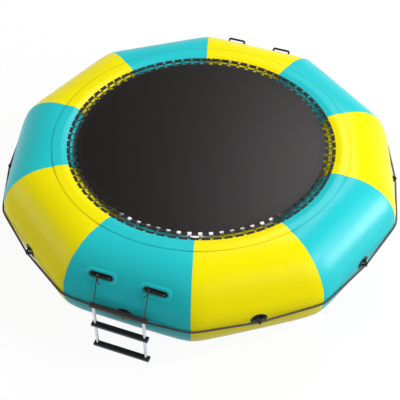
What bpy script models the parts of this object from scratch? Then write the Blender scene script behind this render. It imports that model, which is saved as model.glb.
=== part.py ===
# Water trampoline: ten welded tube segments in a ring, a laced jump mat, grab handles, a rope and a ladder.
# Metres, +Z up. The origin is the middle of the jump mat's top, and the ladder hangs on the -Y side.
# Each segment has its own frame, turned about Z: +X out through the tube, +Y along it.

import math

import bmesh
import bpy
from mathutils import Matrix, Vector

# Fits
TOUCH_GAP = 0.0003
WELD_SINK = 0.0010
CUT_OVERRUN = 0.0050
MERGE_DISTANCE = 0.00001
SHARP_ANGLE = math.radians(32)

# Ring of tube segments, each a polygon section with a flat facet on top, outside and underneath
SEGMENT_COUNT = 10
LADDER_SEGMENT_TURN = math.radians(-90)
RING_APOTHEM = 1.1600
TUBE_RADIUS = 0.3650
TUBE_SIDES = 20
PVC_WALL = 0.0009
SEAM_GAP = 0.0003
SEAM_TOLERANCE = 0.0001
MAT_BELOW_TUBE_TOP = 0.0150

# Skirt over the ring's webbing
SKIRT_STEPS = 8
SKIRT_THICKNESS = 0.0010
SKIRT_PAST_TUBE_MIDDLE = 0.0110

# Webbing welded to the ring and webbing sewn under the mat, each with tabs that hook the lacing cords
TABS_PER_SEGMENT = 8
WEBBING_THICKNESS = 0.0015
RING_WEB_SET_IN = 0.0635
RING_WEB_WIDTH = 0.0465
RING_TAB_REACH = 0.0240
RING_TAB_RISE = 0.0017
RING_TAB_HOOK = 0.0088
RING_TAB_WIDTH_SHARE = 0.69
MAT_WEB_WIDTH = 0.0400
MAT_TAB_REACH = 0.0290
MAT_TAB_HOOK = 0.0067
MAT_TAB_WIDTH_SHARE = 0.62

# Jump mat
MAT_THICKNESS = 0.0020
MAT_BORDER_WIDTH = 0.1900
BORDER_GAP = 0.0003
MAT_STEPS = 80

# Lacing cords, between the tips of the ring's tabs and the tips of the mat's
LACE_SPAN = 0.0270
LACE_RADIUS = 0.0030
LACE_CLEARANCE = 0.0006
LACE_BEND_BEYOND_TAB = 0.0040

# Perimeter rope and the holders that carry it
ROPE_RADIUS = 0.0080
ROPE_STANDOFF = 0.0380
ROPE_STRAIGHT_IN_HOLDER = 0.0400
HOLDER_LENGTH = 0.1250
HOLDER_HEIGHT = 0.0960
HOLDER_THICKNESS = 0.0030
HOLDER_SIDES = 16
HOLDER_STRAP_WIDTH = 0.0300
HOLDER_STRAP_THICKNESS = 0.0025
HOLDER_STRAP_SPREAD = 0.0560
STRAP_ARC_STEPS = 6

# Grab handles, above the ladder and straight across from it
HANDLE_SEGMENTS = (0, 5)
HANDLE_NAMES = (("front_left", "front_right"), ("back_left", "back_right"))
HANDLE_FACET = math.radians(36)
HANDLE_APART = 0.4140
HANDLE_UP_FACET = 0.0200
HANDLE_LENGTH = 0.1570
HANDLE_BAR_RADIUS = 0.0090
HANDLE_FINGER_GAP = 0.0194
HANDLE_BEND_INSIDE = 0.0020
HANDLE_BEND_STEPS = 3
HANDLE_BASE_END_REACH = 0.0140
HANDLE_BASE_SIDE_REACH = 0.0120
HANDLE_BASE_THICKNESS = 0.0030
PATCH_PAST_BASE_END = 0.0275
PATCH_PAST_BASE_SIDE = 0.0165
PATCH_THICKNESS = 0.0010
OBLONG_END_STEPS = 8

# Ladder
LADDER_ROPE_CLEARANCE = 0.0009
LADDER_SIDE_SHIFT = -0.0300
LADDER_BAR_OVER_HOLDER = 0.0100
LADDER_BAR_RADIUS = 0.0200
LADDER_BAR_PAST_RAIL = 0.0165
LADDER_BAR_SIDES = 20
RAIL_RADIUS = 0.0120
RAIL_SIDES = 16
RAIL_WALL = 0.0015
RAIL_IN_BAR = 0.0160
RAIL_IN_STEP = 0.0180
STEP_COUNT = 2
FIRST_STEP_DROP = 0.1550
STEP_SPACING = 0.2350
STEP_PAST_RAIL = 0.0150
STEP_DEPTH = 0.0450
STEP_THICKNESS = 0.0280
STEP_EDGE_RADIUS = 0.0070
STEP_EDGE_STEPS = 3
STEP_GROOVES = 5
STEP_GROOVE_WIDTH = 0.0030
STEP_GROOVE_DEPTH = 0.0015

# Hanger ropes that tie the ladder's bar to the front handles
HANGER_RADIUS = 0.0040
HANGER_INSIDE_HANDLE = 0.0120
HANGER_PAST_RAIL = 0.0020
HANGER_IN_BAR = 0.0070
HANGER_RING_STEPS = 16
HANGER_HOLE_SIDES = 12
HANGER_POINT_SPACING = 0.0200
KNOT_RADIUS = 0.0090
KNOT_CLEARANCE = 0.0023
KNOT_SEGMENTS = 10
KNOT_RINGS = 6
KNOT_TAIL = 0.0280
KNOT_TAIL_LEAN = math.radians(35)

# Inflation valve
VALVE_SEGMENT = 6
VALVE_FACET = math.radians(18)
VALVE_ALONG = -0.2400
VALVE_FLANGE_REACH = 0.0100
VALVE_FLANGE_THICKNESS = 0.0030
VALVE_NECK_WALL = 0.0055
VALVE_NECK_HEIGHT = 0.0080
VALVE_BARREL_WALL = 0.0035
VALVE_BARREL_DEPTH = 0.0240
VALVE_BORE_RADIUS = 0.0165
VALVE_STEPS = 24
INSERT_WALL = 0.0020
INSERT_RIM_REACH = 0.0030
INSERT_RIM_THICKNESS = 0.0020
INSERT_DEPTH = 0.0180
INSERT_WEB_THICKNESS = 0.0025
AIR_HOLE_COUNT = 3
AIR_HOLE_RADIUS = 0.0032
AIR_HOLE_SIDES = 8
FLAP_SIDE_CLEARANCE = 0.0033
FLAP_THICKNESS = 0.0020
FLAP_STEM_RADIUS = 0.0022
FLAP_HEAD_RADIUS = 0.0040
FLAP_HEAD_THICKNESS = 0.0020
FLAP_TRAVEL = 0.0040
CAP_WALL = 0.0022
CAP_SIDE_CLEARANCE = 0.0008
CAP_STRAP_WIDTH = 0.0120
CAP_STRAP_THICKNESS = 0.0024
CAP_FOLD_SIDES = 12

# Anchor rings under the tube
ANCHOR_SEGMENTS = (3, 8)
ANCHOR_FACET = math.radians(-54)
ANCHOR_PATCH_RADIUS = 0.0450
ANCHOR_PATCH_THICKNESS = 0.0030
ANCHOR_PATCH_SIDES = 20
ANCHOR_STRAP_SIDE_CLEARANCE = 0.0060
ANCHOR_STRAP_THICKNESS = 0.0020
ANCHOR_STRAP_SPREAD = 0.0300
ANCHOR_RING_WIRE_RADIUS = 0.0040
ANCHOR_RING_WIDTH = 0.0500
ANCHOR_RING_DROP = 0.0460
ANCHOR_RING_ARC_STEPS = 8

# Colour, roughness and metallic value of each material
TEAL_PVC = ((0.02, 0.48, 0.52), 0.30, 0.0)
YELLOW_PVC = ((0.95, 0.85, 0.0), 0.30, 0.0)
MAT_MESH = ((0.018, 0.017, 0.017), 0.55, 0.0)
BLACK_WEBBING = ((0.012, 0.012, 0.013), 0.70, 0.0)
BLACK_CORD = ((0.020, 0.019, 0.018), 0.75, 0.0)
BLACK_RUBBER = ((0.010, 0.010, 0.011), 0.45, 0.0)
BLACK_PLASTIC = ((0.015, 0.015, 0.016), 0.40, 0.0)
SILVER_TUBE = ((0.72, 0.73, 0.75), 0.28, 1.0)

# Worked out from the sizes above
segment_angle = 2 * math.pi / SEGMENT_COUNT
half_segment = segment_angle / 2
section_step = 2 * math.pi / TUBE_SIDES
corner_radius = TUBE_RADIUS / math.cos(section_step / 2)
tab_angle = segment_angle / TABS_PER_SEGMENT
tab_count = SEGMENT_COUNT * TABS_PER_SEGMENT
wall_face = RING_APOTHEM + TUBE_RADIUS
mat_height = TUBE_RADIUS - MAT_BELOW_TUBE_TOP

skirt_outer = RING_APOTHEM + SKIRT_PAST_TUBE_MIDDLE
ring_web_outer = RING_APOTHEM - RING_WEB_SET_IN
ring_web_inner = ring_web_outer - RING_WEB_WIDTH
ring_tab_tip = ring_web_inner - RING_TAB_REACH
mat_tab_tip = ring_tab_tip - LACE_SPAN
mat_radius = mat_tab_tip - MAT_TAB_REACH
mat_web_inner = mat_radius - MAT_WEB_WIDTH
bed_radius = mat_radius - MAT_BORDER_WIDTH

rope_line = wall_face + ROPE_STANDOFF
rope_off_wall = ROPE_RADIUS + TOUCH_GAP
rope_run = wall_face * math.tan(half_segment) - ROPE_STRAIGHT_IN_HOLDER / 2
rope_slope = (ROPE_STANDOFF - rope_off_wall) / rope_run

handle_leg = HANDLE_LENGTH / 2 - HANDLE_BAR_RADIUS
handle_bend_radius = HANDLE_BAR_RADIUS + HANDLE_BEND_INSIDE
handle_base_length = HANDLE_LENGTH + 2 * HANDLE_BASE_END_REACH
handle_base_width = 2 * (HANDLE_BAR_RADIUS + HANDLE_BASE_SIDE_REACH)
patch_length = handle_base_length + 2 * PATCH_PAST_BASE_END
patch_width = handle_base_width + 2 * PATCH_PAST_BASE_SIDE
handle_base_low = TOUCH_GAP + PATCH_THICKNESS + TOUCH_GAP
handle_base_top = handle_base_low + HANDLE_BASE_THICKNESS
handle_bar_height = handle_base_top + HANDLE_FINGER_GAP + HANDLE_BAR_RADIUS

hanger_spacing = HANDLE_APART - 2 * HANGER_INSIDE_HANDLE
rail_spacing = hanger_spacing - 2 * HANGER_PAST_RAIL
ladder_bar_length = rail_spacing + 2 * (RAIL_RADIUS + LADDER_BAR_PAST_RAIL)
step_length = rail_spacing + 2 * (RAIL_RADIUS + STEP_PAST_RAIL)
near_rail = rail_spacing / 2 - abs(LADDER_SIDE_SHIFT)
rope_at_near_rail = rope_line - rope_slope * (near_rail - ROPE_STRAIGHT_IN_HOLDER / 2)
ladder_plane = rope_at_near_rail + ROPE_RADIUS + LADDER_ROPE_CLEARANCE + RAIL_RADIUS
ladder_bar_height = HOLDER_STRAP_WIDTH / 2 + LADDER_BAR_OVER_HOLDER + LADDER_BAR_RADIUS

barrel_radius = VALVE_BORE_RADIUS + VALVE_BARREL_WALL
neck_radius = VALVE_BORE_RADIUS + VALVE_NECK_WALL
flange_radius = neck_radius + VALVE_FLANGE_REACH
insert_rim_radius = VALVE_BORE_RADIUS + INSERT_RIM_REACH
flap_radius = VALVE_BORE_RADIUS - FLAP_SIDE_CLEARANCE

anchor_strap_width = ANCHOR_RING_WIDTH - 2 * (ANCHOR_RING_WIRE_RADIUS + ANCHOR_STRAP_SIDE_CLEARANCE)


# Scene and objects

def clear_scene():
    for obj in list(bpy.data.objects):
        bpy.data.objects.remove(obj, do_unlink=True)
    for collection in list(bpy.data.collections):
        bpy.data.collections.remove(collection)


def new_collection(name):
    collection = bpy.data.collections.new(name)
    bpy.context.scene.collection.children.link(collection)
    return collection


def new_material(name, finish):
    colour, roughness, metallic = finish
    material = bpy.data.materials.new(name)
    material.use_nodes = True
    material.diffuse_color = (*colour, 1)
    shader = material.node_tree.nodes["Principled BSDF"]
    shader.inputs["Base Color"].default_value = (*colour, 1)
    shader.inputs["Roughness"].default_value = roughness
    shader.inputs["Metallic"].default_value = metallic
    return material


def new_empty(name, location=(0, 0, 0), rotation=(0, 0, 0), parent=None):
    empty = bpy.data.objects.new(name, None)
    empty.location = location
    empty.rotation_euler = rotation
    empty.parent = parent
    parts.objects.link(empty)
    return empty


def shade_round(mesh):
    mesh.shade_smooth()
    mesh.set_sharp_from_angle(angle=SHARP_ANGLE)


def add_part(name, data, finish, parent=None, location=(0, 0, 0), rotation=(0, 0, 0)):
    obj = bpy.data.objects.new(name, data)
    obj.location = location
    obj.rotation_euler = rotation
    obj.parent = parent
    parts.objects.link(obj)
    obj.data.materials.clear()
    obj.data.materials.append(new_material(name + "_material", finish))
    return obj


def add_cutter(name, data, parent=None, location=(0, 0, 0), rotation=(0, 0, 0)):
    cutter = bpy.data.objects.new(name, data)
    cutter.location = location
    cutter.rotation_euler = rotation
    cutter.parent = parent
    cutter.hide_render = True
    cutter.display_type = "WIRE"
    cutters.objects.link(cutter)
    return cutter


def cut(obj, cutter):
    boolean = obj.modifiers.new("cut_" + cutter.name, "BOOLEAN")
    boolean.operation = "DIFFERENCE"
    boolean.solver = "EXACT"
    boolean.object = cutter


# Shapes

def mesh_from(name, build):
    # The mesh that a function builds in a bmesh, with its faces turned outward.
    bm = bmesh.new()
    build(bm)
    bmesh.ops.recalc_face_normals(bm, faces=bm.faces[:])
    mesh = bpy.data.meshes.new(name)
    bm.to_mesh(mesh)
    bm.free()
    shade_round(mesh)
    return mesh


def evaluated_mesh(obj):
    # The object's mesh with its modifiers or its bevel applied and its loose caps welded.
    parts.objects.link(obj)
    bpy.context.view_layer.update()
    graph = bpy.context.evaluated_depsgraph_get()
    mesh = bpy.data.meshes.new_from_object(obj.evaluated_get(graph))
    bpy.data.objects.remove(obj)
    bm = bmesh.new()
    bm.from_mesh(mesh)
    bmesh.ops.remove_doubles(bm, verts=bm.verts[:], dist=MERGE_DISTANCE)
    bmesh.ops.recalc_face_normals(bm, faces=bm.faces[:])
    bm.to_mesh(mesh)
    bm.free()
    shade_round(mesh)
    return mesh


def moved(mesh, matrix):
    mesh.transform(matrix)
    return mesh


def fused(first, *others):
    # One solid from overlapping ones.
    base = bpy.data.objects.new(first.name, first)
    helpers = []
    for other in others:
        helper = bpy.data.objects.new(other.name, other)
        helper.hide_render = True
        cutters.objects.link(helper)
        helpers.append(helper)
        boolean = base.modifiers.new("join", "BOOLEAN")
        boolean.operation = "UNION"
        boolean.solver = "EXACT"
        boolean.object = helper
    mesh = evaluated_mesh(base)
    for helper in helpers:
        bpy.data.objects.remove(helper)
    return mesh


def tube(name, points, radius, resolution, cyclic=False, twist="MINIMUM"):
    curve = bpy.data.curves.new(name, "CURVE")
    curve.dimensions = "3D"
    curve.twist_mode = twist
    curve.bevel_depth = radius
    curve.bevel_resolution = resolution
    curve.use_fill_caps = not cyclic
    spline = curve.splines.new("POLY")
    spline.points.add(len(points) - 1)
    for knot, point in zip(spline.points, points):
        knot.co = (*point, 1)
    spline.use_cyclic_u = cyclic
    return evaluated_mesh(bpy.data.objects.new(name, curve))


def extruded(name, outlines, thickness):
    # A flat outline, with holes if more than one is given, thickened evenly about its plane.
    curve = bpy.data.curves.new(name, "CURVE")
    curve.dimensions = "2D"
    curve.fill_mode = "BOTH"
    curve.extrude = thickness / 2
    for outline in outlines:
        spline = curve.splines.new("POLY")
        spline.points.add(len(outline) - 1)
        for knot, point in zip(spline.points, outline):
            knot.co = (*point, 0, 1)
        spline.use_cyclic_u = True
    return evaluated_mesh(bpy.data.objects.new(name, curve))


def turned(name, profile, steps, closed=False):
    # The profile's points are (radius, height), down the outer side first.
    mesh = bpy.data.meshes.new(name)
    count = len(profile)
    edges = [(k, (k + 1) % count) for k in range(count if closed else count - 1)]
    mesh.from_pydata([(radius, 0, height) for radius, height in profile], edges, [])
    obj = bpy.data.objects.new(name, mesh)
    screw = obj.modifiers.new("turn", "SCREW")
    screw.steps = steps
    screw.render_steps = steps
    screw.use_merge_vertices = True
    screw.merge_threshold = MERGE_DISTANCE
    return evaluated_mesh(obj)


def round_bar(name, radius, length, sides, wide=1, high=1):
    # A cylinder along Z about the origin, or an oval one where the width and height shares differ.
    def build(bm):
        bmesh.ops.create_cone(bm, cap_ends=True, segments=sides, radius1=radius, radius2=radius, depth=length)
        bmesh.ops.scale(bm, vec=(wide, high, 1), verts=bm.verts[:])
    return mesh_from(name, build)


def oblong(name, length, width, thickness):
    # A flat plate about the origin, with a half circle at each end.
    right = arc(((length - width) / 2, 0), width / 2, -math.pi / 2, math.pi / 2, OBLONG_END_STEPS)
    left = [(-x, -y) for x, y in right]
    return extruded(name, [right + left], thickness)


def arc(centre, radius, start, end, steps):
    # Points on a circle's arc, both ends included.
    turns = [start + (end - start) * step / steps for step in range(steps + 1)]
    return [(centre[0] + radius * math.cos(t), centre[1] + radius * math.sin(t)) for t in turns]


def strap_outline(foot, base, centre, radius):
    # A D shape: two feet on the base line, straight sides, and a round nose about the centre.
    lean = math.atan2(foot, centre - base)
    touch = math.pi - lean - math.acos(radius / math.hypot(centre - base, foot))
    nose = arc((centre, 0), radius, touch, -touch, STRAP_ARC_STEPS)
    return [(base, foot)] + nose + [(base, -foot)]


# Places on the tube

def segment_name(stem, index):
    return f"{stem}_{index + 1:02d}"


def on_facet(facet, above=0, along=0, up=0):
    # A point in a segment's frame: this far above the facet, along the tube, and up the facet's slope.
    reach = TUBE_RADIUS + above
    out = RING_APOTHEM + reach * math.cos(facet) - up * math.sin(facet)
    height = reach * math.sin(facet) + up * math.cos(facet) - mat_height
    return Vector((out, along, height))


def facet_turn(facet):
    # Turns +X along the tube, +Y up the facet's slope and +Z out of it.
    along = Vector((0, 1, 0))
    up = Vector((-math.sin(facet), 0, math.cos(facet)))
    out = Vector((math.cos(facet), 0, math.sin(facet)))
    return Matrix((along, up, out)).transposed().to_euler()


def tube_top(radius):
    # Height of the tube's faceted top at this distance from the ring's middle, halfway along a segment.
    across = abs(radius - RING_APOTHEM)
    facets = [section_step * k for k in range(1, TUBE_SIDES // 4 + 1)]
    heights = [(TUBE_RADIUS - across * math.cos(a)) / math.sin(a) for a in facets]
    return min(heights) - mat_height


def from_tube_axis(vert):
    return math.hypot(vert.co.x - RING_APOTHEM, vert.co.z + mat_height)


def round_tube_axis(vert):
    return math.atan2(vert.co.z + mat_height, vert.co.x - RING_APOTHEM)


def ring_point(radius, angle, height):
    return Vector((radius * math.cos(angle), radius * math.sin(angle), height))


# Tube segments and skirt panels

def tube_segment_mesh(name):
    lie_along_y = Matrix.Rotation(math.radians(90), 4, "X") @ Matrix.Rotation(section_step / 2, 4, "Z")
    place = Matrix.Translation((RING_APOTHEM, 0, -mat_height)) @ lie_along_y
    inner_corner_radius = (TUBE_RADIUS - PVC_WALL) / math.cos(section_step / 2)
    long_enough = 2 * (RING_APOTHEM + corner_radius)

    def build(bm):
        for radius in (corner_radius, inner_corner_radius):
            bmesh.ops.create_cone(
                bm, cap_ends=False, segments=TUBE_SIDES, radius1=radius, radius2=radius,
                depth=long_enough, matrix=place,
            )
        for side in (-1, 1):
            seam_normal = Vector((-math.sin(half_segment), side * math.cos(half_segment), 0))
            seam_point = -seam_normal * SEAM_GAP / 2
            everything = bm.verts[:] + bm.edges[:] + bm.faces[:]
            bmesh.ops.bisect_plane(
                bm, geom=everything, plane_co=seam_point, plane_no=seam_normal, clear_outer=True
            )
            rim = [vert for vert in bm.verts if abs((vert.co - seam_point).dot(seam_normal)) < SEAM_TOLERANCE]
            rim.sort(key=from_tube_axis)
            inner, outer = rim[:TUBE_SIDES], rim[TUBE_SIDES:]
            inner.sort(key=round_tube_axis)
            outer.sort(key=round_tube_axis)
            for k in range(TUBE_SIDES):
                m = (k + 1) % TUBE_SIDES
                bm.faces.new((inner[k], inner[m], outer[m], outer[k]))

    return mesh_from(name, build)


def skirt_profile():
    # Underside of the skirt, from the mat outward: over the webbing's slope, then flat on the tube's top.
    inner = tube_top(ring_web_inner) + WEBBING_THICKNESS + 2 * TOUCH_GAP
    outer = tube_top(ring_web_outer) + WEBBING_THICKNESS + 2 * TOUCH_GAP
    flat = max(outer, tube_top(skirt_outer) + TOUCH_GAP)
    return [(ring_web_inner, inner), (ring_web_outer, flat), (skirt_outer, flat)]


def add_skirt_panel(name, finish, parent):
    gap_angle = SEAM_GAP / ring_web_inner
    mesh = bpy.data.meshes.new(name)
    profile = skirt_profile()
    edges = [(k, k + 1) for k in range(len(profile) - 1)]
    mesh.from_pydata([(radius, 0, height) for radius, height in profile], edges, [])
    panel = add_part(name, mesh, finish, parent, rotation=(0, 0, gap_angle / 2 - half_segment))
    screw = panel.modifiers.new("turn", "SCREW")
    screw.angle = segment_angle - gap_angle
    screw.steps = SKIRT_STEPS
    screw.render_steps = SKIRT_STEPS
    screw.use_merge_vertices = False
    solidify = panel.modifiers.new("fabric", "SOLIDIFY")
    solidify.thickness = SKIRT_THICKNESS
    solidify.offset = 1


# Webbing rings, mat and lacing

def webbing_mesh(name, strip, tab, width_share):
    # The strip's corners start with its two on the tab's side, bottom then top.
    # The tab's corners run from that bottom one round the hook to that top one.
    half_width = tab_angle * width_share / 2

    def build(bm):
        rings = []
        for index in range(tab_count):
            for turn in (index * tab_angle - half_width, index * tab_angle + half_width):
                corners = [bm.verts.new(ring_point(r, turn, z)) for r, z in strip]
                hook = [bm.verts.new(ring_point(r, turn, z)) for r, z in tab]
                rings.append((corners, [corners[0]] + hook + [corners[1]]))
        for index, (corners, hook) in enumerate(rings):
            next_corners, next_hook = rings[(index + 1) % len(rings)]
            on_tab = index % 2 == 0
            for k in range(1 if on_tab else 0, 4):
                m = (k + 1) % 4
                bm.faces.new((corners[k], corners[m], next_corners[m], next_corners[k]))
            if on_tab:
                for k in range(len(hook) - 1):
                    bm.faces.new((hook[k], hook[k + 1], next_hook[k + 1], next_hook[k]))
            bm.faces.new(hook)

    return mesh_from(name, build)


def ring_webbing_mesh(name):
    low = tube_top(ring_web_inner) + TOUCH_GAP
    high = tube_top(ring_web_outer) + TOUCH_GAP
    tip_low = low + RING_TAB_RISE
    strip = [
        (ring_web_inner, low), (ring_web_inner, low + WEBBING_THICKNESS),
        (ring_web_outer, high + WEBBING_THICKNESS), (ring_web_outer, high),
    ]
    hook = [
        (ring_tab_tip + WEBBING_THICKNESS, tip_low),
        (ring_tab_tip + WEBBING_THICKNESS, tip_low - RING_TAB_HOOK),
        (ring_tab_tip, tip_low - RING_TAB_HOOK), (ring_tab_tip, tip_low + WEBBING_THICKNESS),
    ]
    return webbing_mesh(name, strip, hook, RING_TAB_WIDTH_SHARE)


def mat_webbing_mesh(name):
    top = -MAT_THICKNESS - TOUCH_GAP
    low = top - WEBBING_THICKNESS
    strip = [(mat_radius, low), (mat_radius, top), (mat_web_inner, top), (mat_web_inner, low)]
    hook = [
        (mat_tab_tip - WEBBING_THICKNESS, low), (mat_tab_tip - WEBBING_THICKNESS, low - MAT_TAB_HOOK),
        (mat_tab_tip, low - MAT_TAB_HOOK), (mat_tab_tip, top),
    ]
    return webbing_mesh(name, strip, hook, MAT_TAB_WIDTH_SHARE)


def lace_points(first_on_ring):
    # The cord runs under one ring tab, crosses to the next mat tab, and so on round.
    # The cord that starts on a ring tab climbs over the other wherever the two cross.
    ring_run = ring_tab_tip + WEBBING_THICKNESS + TOUCH_GAP + LACE_RADIUS
    mat_run = mat_tab_tip - WEBBING_THICKNESS - TOUCH_GAP - LACE_RADIUS
    tab_low = tube_top(ring_web_inner) + TOUCH_GAP + RING_TAB_RISE
    ring_height = tab_low - LACE_CLEARANCE - LACE_RADIUS - TOUCH_GAP
    mat_height = -MAT_THICKNESS - WEBBING_THICKNESS - 2 * TOUCH_GAP - LACE_RADIUS
    points = []
    for index in range(tab_count):
        on_ring = (index % 2 == 0) == first_on_ring
        radius = ring_run if on_ring else mat_run
        height = ring_height if on_ring else mat_height
        share = RING_TAB_WIDTH_SHARE if on_ring else MAT_TAB_WIDTH_SHARE
        reach = tab_angle * share / 2 + LACE_BEND_BEYOND_TAB / radius
        points.append(ring_point(radius, index * tab_angle - reach, height))
        points.append(ring_point(radius, index * tab_angle + reach, height))
        if first_on_ring:
            climb = 2 * LACE_RADIUS + LACE_CLEARANCE
            middle = (ring_height + mat_height) / 2 + climb
            points.append(ring_point((ring_run + mat_run) / 2, (index + 1 / 2) * tab_angle, middle))
    return points


def add_mat_and_lacing():
    add_part("ring_webbing", ring_webbing_mesh("ring_webbing"), BLACK_WEBBING)
    add_part("mat_webbing", mat_webbing_mesh("mat_webbing"), BLACK_WEBBING)
    border = [
        (mat_radius, 0), (mat_radius, -MAT_THICKNESS),
        (bed_radius + BORDER_GAP, -MAT_THICKNESS), (bed_radius + BORDER_GAP, 0),
    ]
    add_part("mat_border", turned("mat_border", border, MAT_STEPS, closed=True), MAT_MESH)
    bed = round_bar("jump_bed", bed_radius, MAT_THICKNESS, MAT_STEPS)
    add_part("jump_bed", bed, MAT_MESH, location=(0, 0, -MAT_THICKNESS / 2))
    for name, first_on_ring in (("lacing_cord_a", True), ("lacing_cord_b", False)):
        cord = tube(name, lace_points(first_on_ring), LACE_RADIUS, 0, cyclic=True, twist="Z_UP")
        add_part(name, cord, BLACK_CORD)


# Perimeter rope and holders

def rope_points():
    # Straight through each holder, straight to each corner, and round it on the tube.
    tube_corner = wall_face / math.cos(half_segment)
    turn = half_segment - math.atan(rope_slope)
    bend = rope_off_wall / math.cos(turn / 2)
    points = []
    for index in range(SEGMENT_COUNT):
        facing = LADDER_SEGMENT_TURN + index * segment_angle
        seam = facing + half_segment
        for side in (-1, 1):
            place = Vector((rope_line, side * ROPE_STRAIGHT_IN_HOLDER / 2, -mat_height))
            points.append(Matrix.Rotation(facing, 3, "Z") @ place)
        for share in (-1, 0, 1):
            corner = ring_point(tube_corner, seam, -mat_height)
            points.append(corner + ring_point(bend, seam + share * turn, 0))
    return points


def holder_mesh(name):
    # A flat oval patch with a strap loop round the rope, in the facet's frame.
    patch = round_bar(
        name, HOLDER_LENGTH / 2, HOLDER_THICKNESS, HOLDER_SIDES, high=HOLDER_HEIGHT / HOLDER_LENGTH
    )
    moved(patch, Matrix.Translation((0, 0, TOUCH_GAP + HOLDER_THICKNESS / 2)))
    return fused(patch, strap_mesh(
        name, TOUCH_GAP + HOLDER_THICKNESS, ROPE_STANDOFF, ROPE_RADIUS + TOUCH_GAP,
        HOLDER_STRAP_THICKNESS, HOLDER_STRAP_SPREAD, HOLDER_STRAP_WIDTH,
    ))


def strap_mesh(name, base, centre, inner_radius, thickness, spread, width):
    # A loop of strap that stands on a patch and holds a round bar at this height above the facet.
    outer = strap_outline(spread / 2, base - WELD_SINK, centre, inner_radius + thickness)
    inner = strap_outline(spread / 2 - thickness, base, centre, inner_radius)
    loop = extruded(name + "_strap", [outer, inner], width)
    out_of_facet = Matrix(((0, 0, 1, 0), (0, 1, 0, 0), (1, 0, 0, 0), (0, 0, 0, 1)))
    mesh = moved(loop, out_of_facet)
    mesh.flip_normals()
    return mesh


def add_rope_and_holders(frames):
    rope = tube("perimeter_rope", rope_points(), ROPE_RADIUS, 2, cyclic=True, twist="Z_UP")
    add_part("perimeter_rope", rope, BLACK_CORD)
    for index, frame in enumerate(frames):
        name = segment_name("rope_holder", index)
        add_part(name, holder_mesh(name), BLACK_RUBBER, frame, on_facet(0), facet_turn(0))


# Grab handles

def handle_mesh(name):
    # A round bar bent down at both ends to one oblong base, in the facet's frame.
    bend = (handle_leg - handle_bend_radius, handle_bar_height - handle_bend_radius)
    half = [(handle_leg, handle_base_top - WELD_SINK)]
    half += arc(bend, handle_bend_radius, 0, math.pi / 2, HANDLE_BEND_STEPS)
    path = [(x, 0, z) for x, z in half] + [(-x, 0, z) for x, z in reversed(half)]
    bar = tube(name, path, HANDLE_BAR_RADIUS, 2)
    base = oblong(name + "_base", handle_base_length, handle_base_width, HANDLE_BASE_THICKNESS)
    moved(base, Matrix.Translation((0, 0, (handle_base_low + handle_base_top) / 2)))
    return fused(bar, base)


def add_handles(frames):
    for index, names in zip(HANDLE_SEGMENTS, HANDLE_NAMES):
        for side, name in zip((-1, 1), names):
            spot = on_facet(HANDLE_FACET, along=side * HANDLE_APART / 2, up=HANDLE_UP_FACET)
            turn = facet_turn(HANDLE_FACET)
            patch = oblong("handle_patch_" + name, patch_length, patch_width, PATCH_THICKNESS)
            moved(patch, Matrix.Translation((0, 0, TOUCH_GAP + PATCH_THICKNESS / 2)))
            finish = TEAL_PVC if index % 2 == 0 else YELLOW_PVC
            add_part("handle_patch_" + name, patch, finish, frames[index], spot, turn)
            handle = handle_mesh("grab_handle_" + name)
            add_part("grab_handle_" + name, handle, BLACK_RUBBER, frames[index], spot, turn)


# Ladder

def add_ladder(frame):
    pivot = on_facet(HANDLE_FACET, above=handle_bar_height, up=HANDLE_UP_FACET)
    hinge = new_empty("ladder_hinge", pivot, parent=frame)
    bar_spot = Vector((ladder_plane, LADDER_SIDE_SHIFT, ladder_bar_height - mat_height)) - pivot
    rail_top = bar_spot.z - LADDER_BAR_RADIUS + RAIL_IN_BAR
    first_top = -mat_height - FIRST_STEP_DROP - pivot.z
    step_tops = [first_top - number * STEP_SPACING for number in range(STEP_COUNT)]
    rail_foot = step_tops[-1] - RAIL_IN_STEP
    rail_spots = [
        Vector((bar_spot.x, bar_spot.y + side * rail_spacing / 2, (rail_top + rail_foot) / 2))
        for side in (-1, 1)
    ]
    rail_length = rail_top - rail_foot

    pipe = [
        (RAIL_RADIUS, rail_length / 2), (RAIL_RADIUS, -rail_length / 2),
        (RAIL_RADIUS - RAIL_WALL, -rail_length / 2), (RAIL_RADIUS - RAIL_WALL, rail_length / 2),
    ]
    for name, spot in zip(("ladder_rail_left", "ladder_rail_right"), rail_spots):
        add_part(name, turned(name, pipe, RAIL_SIDES, closed=True), SILVER_TUBE, hinge, spot)

    sockets = []
    for name, spot in zip(("rail_socket_left", "rail_socket_right"), rail_spots):
        hole = round_bar(name, RAIL_RADIUS + TOUCH_GAP, rail_length + 2 * TOUCH_GAP, RAIL_SIDES)
        sockets.append(add_cutter(name, hole, hinge, spot))

    bar = round_bar("ladder_top_bar", LADDER_BAR_RADIUS, ladder_bar_length, LADDER_BAR_SIDES)
    top_bar = add_part(
        "ladder_top_bar", bar, BLACK_RUBBER, hinge, bar_spot, (math.radians(90), 0, 0)
    )
    for number, top in enumerate(step_tops):
        name = f"ladder_step_{number + 1}"
        spot = (bar_spot.x, bar_spot.y, top)
        step = add_part(name, step_mesh(name), BLACK_PLASTIC, hinge, spot)
        for socket in sockets:
            cut(step, socket)
    for socket in sockets:
        cut(top_bar, socket)
    add_hanger_ropes(hinge, bar_spot, top_bar)


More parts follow.
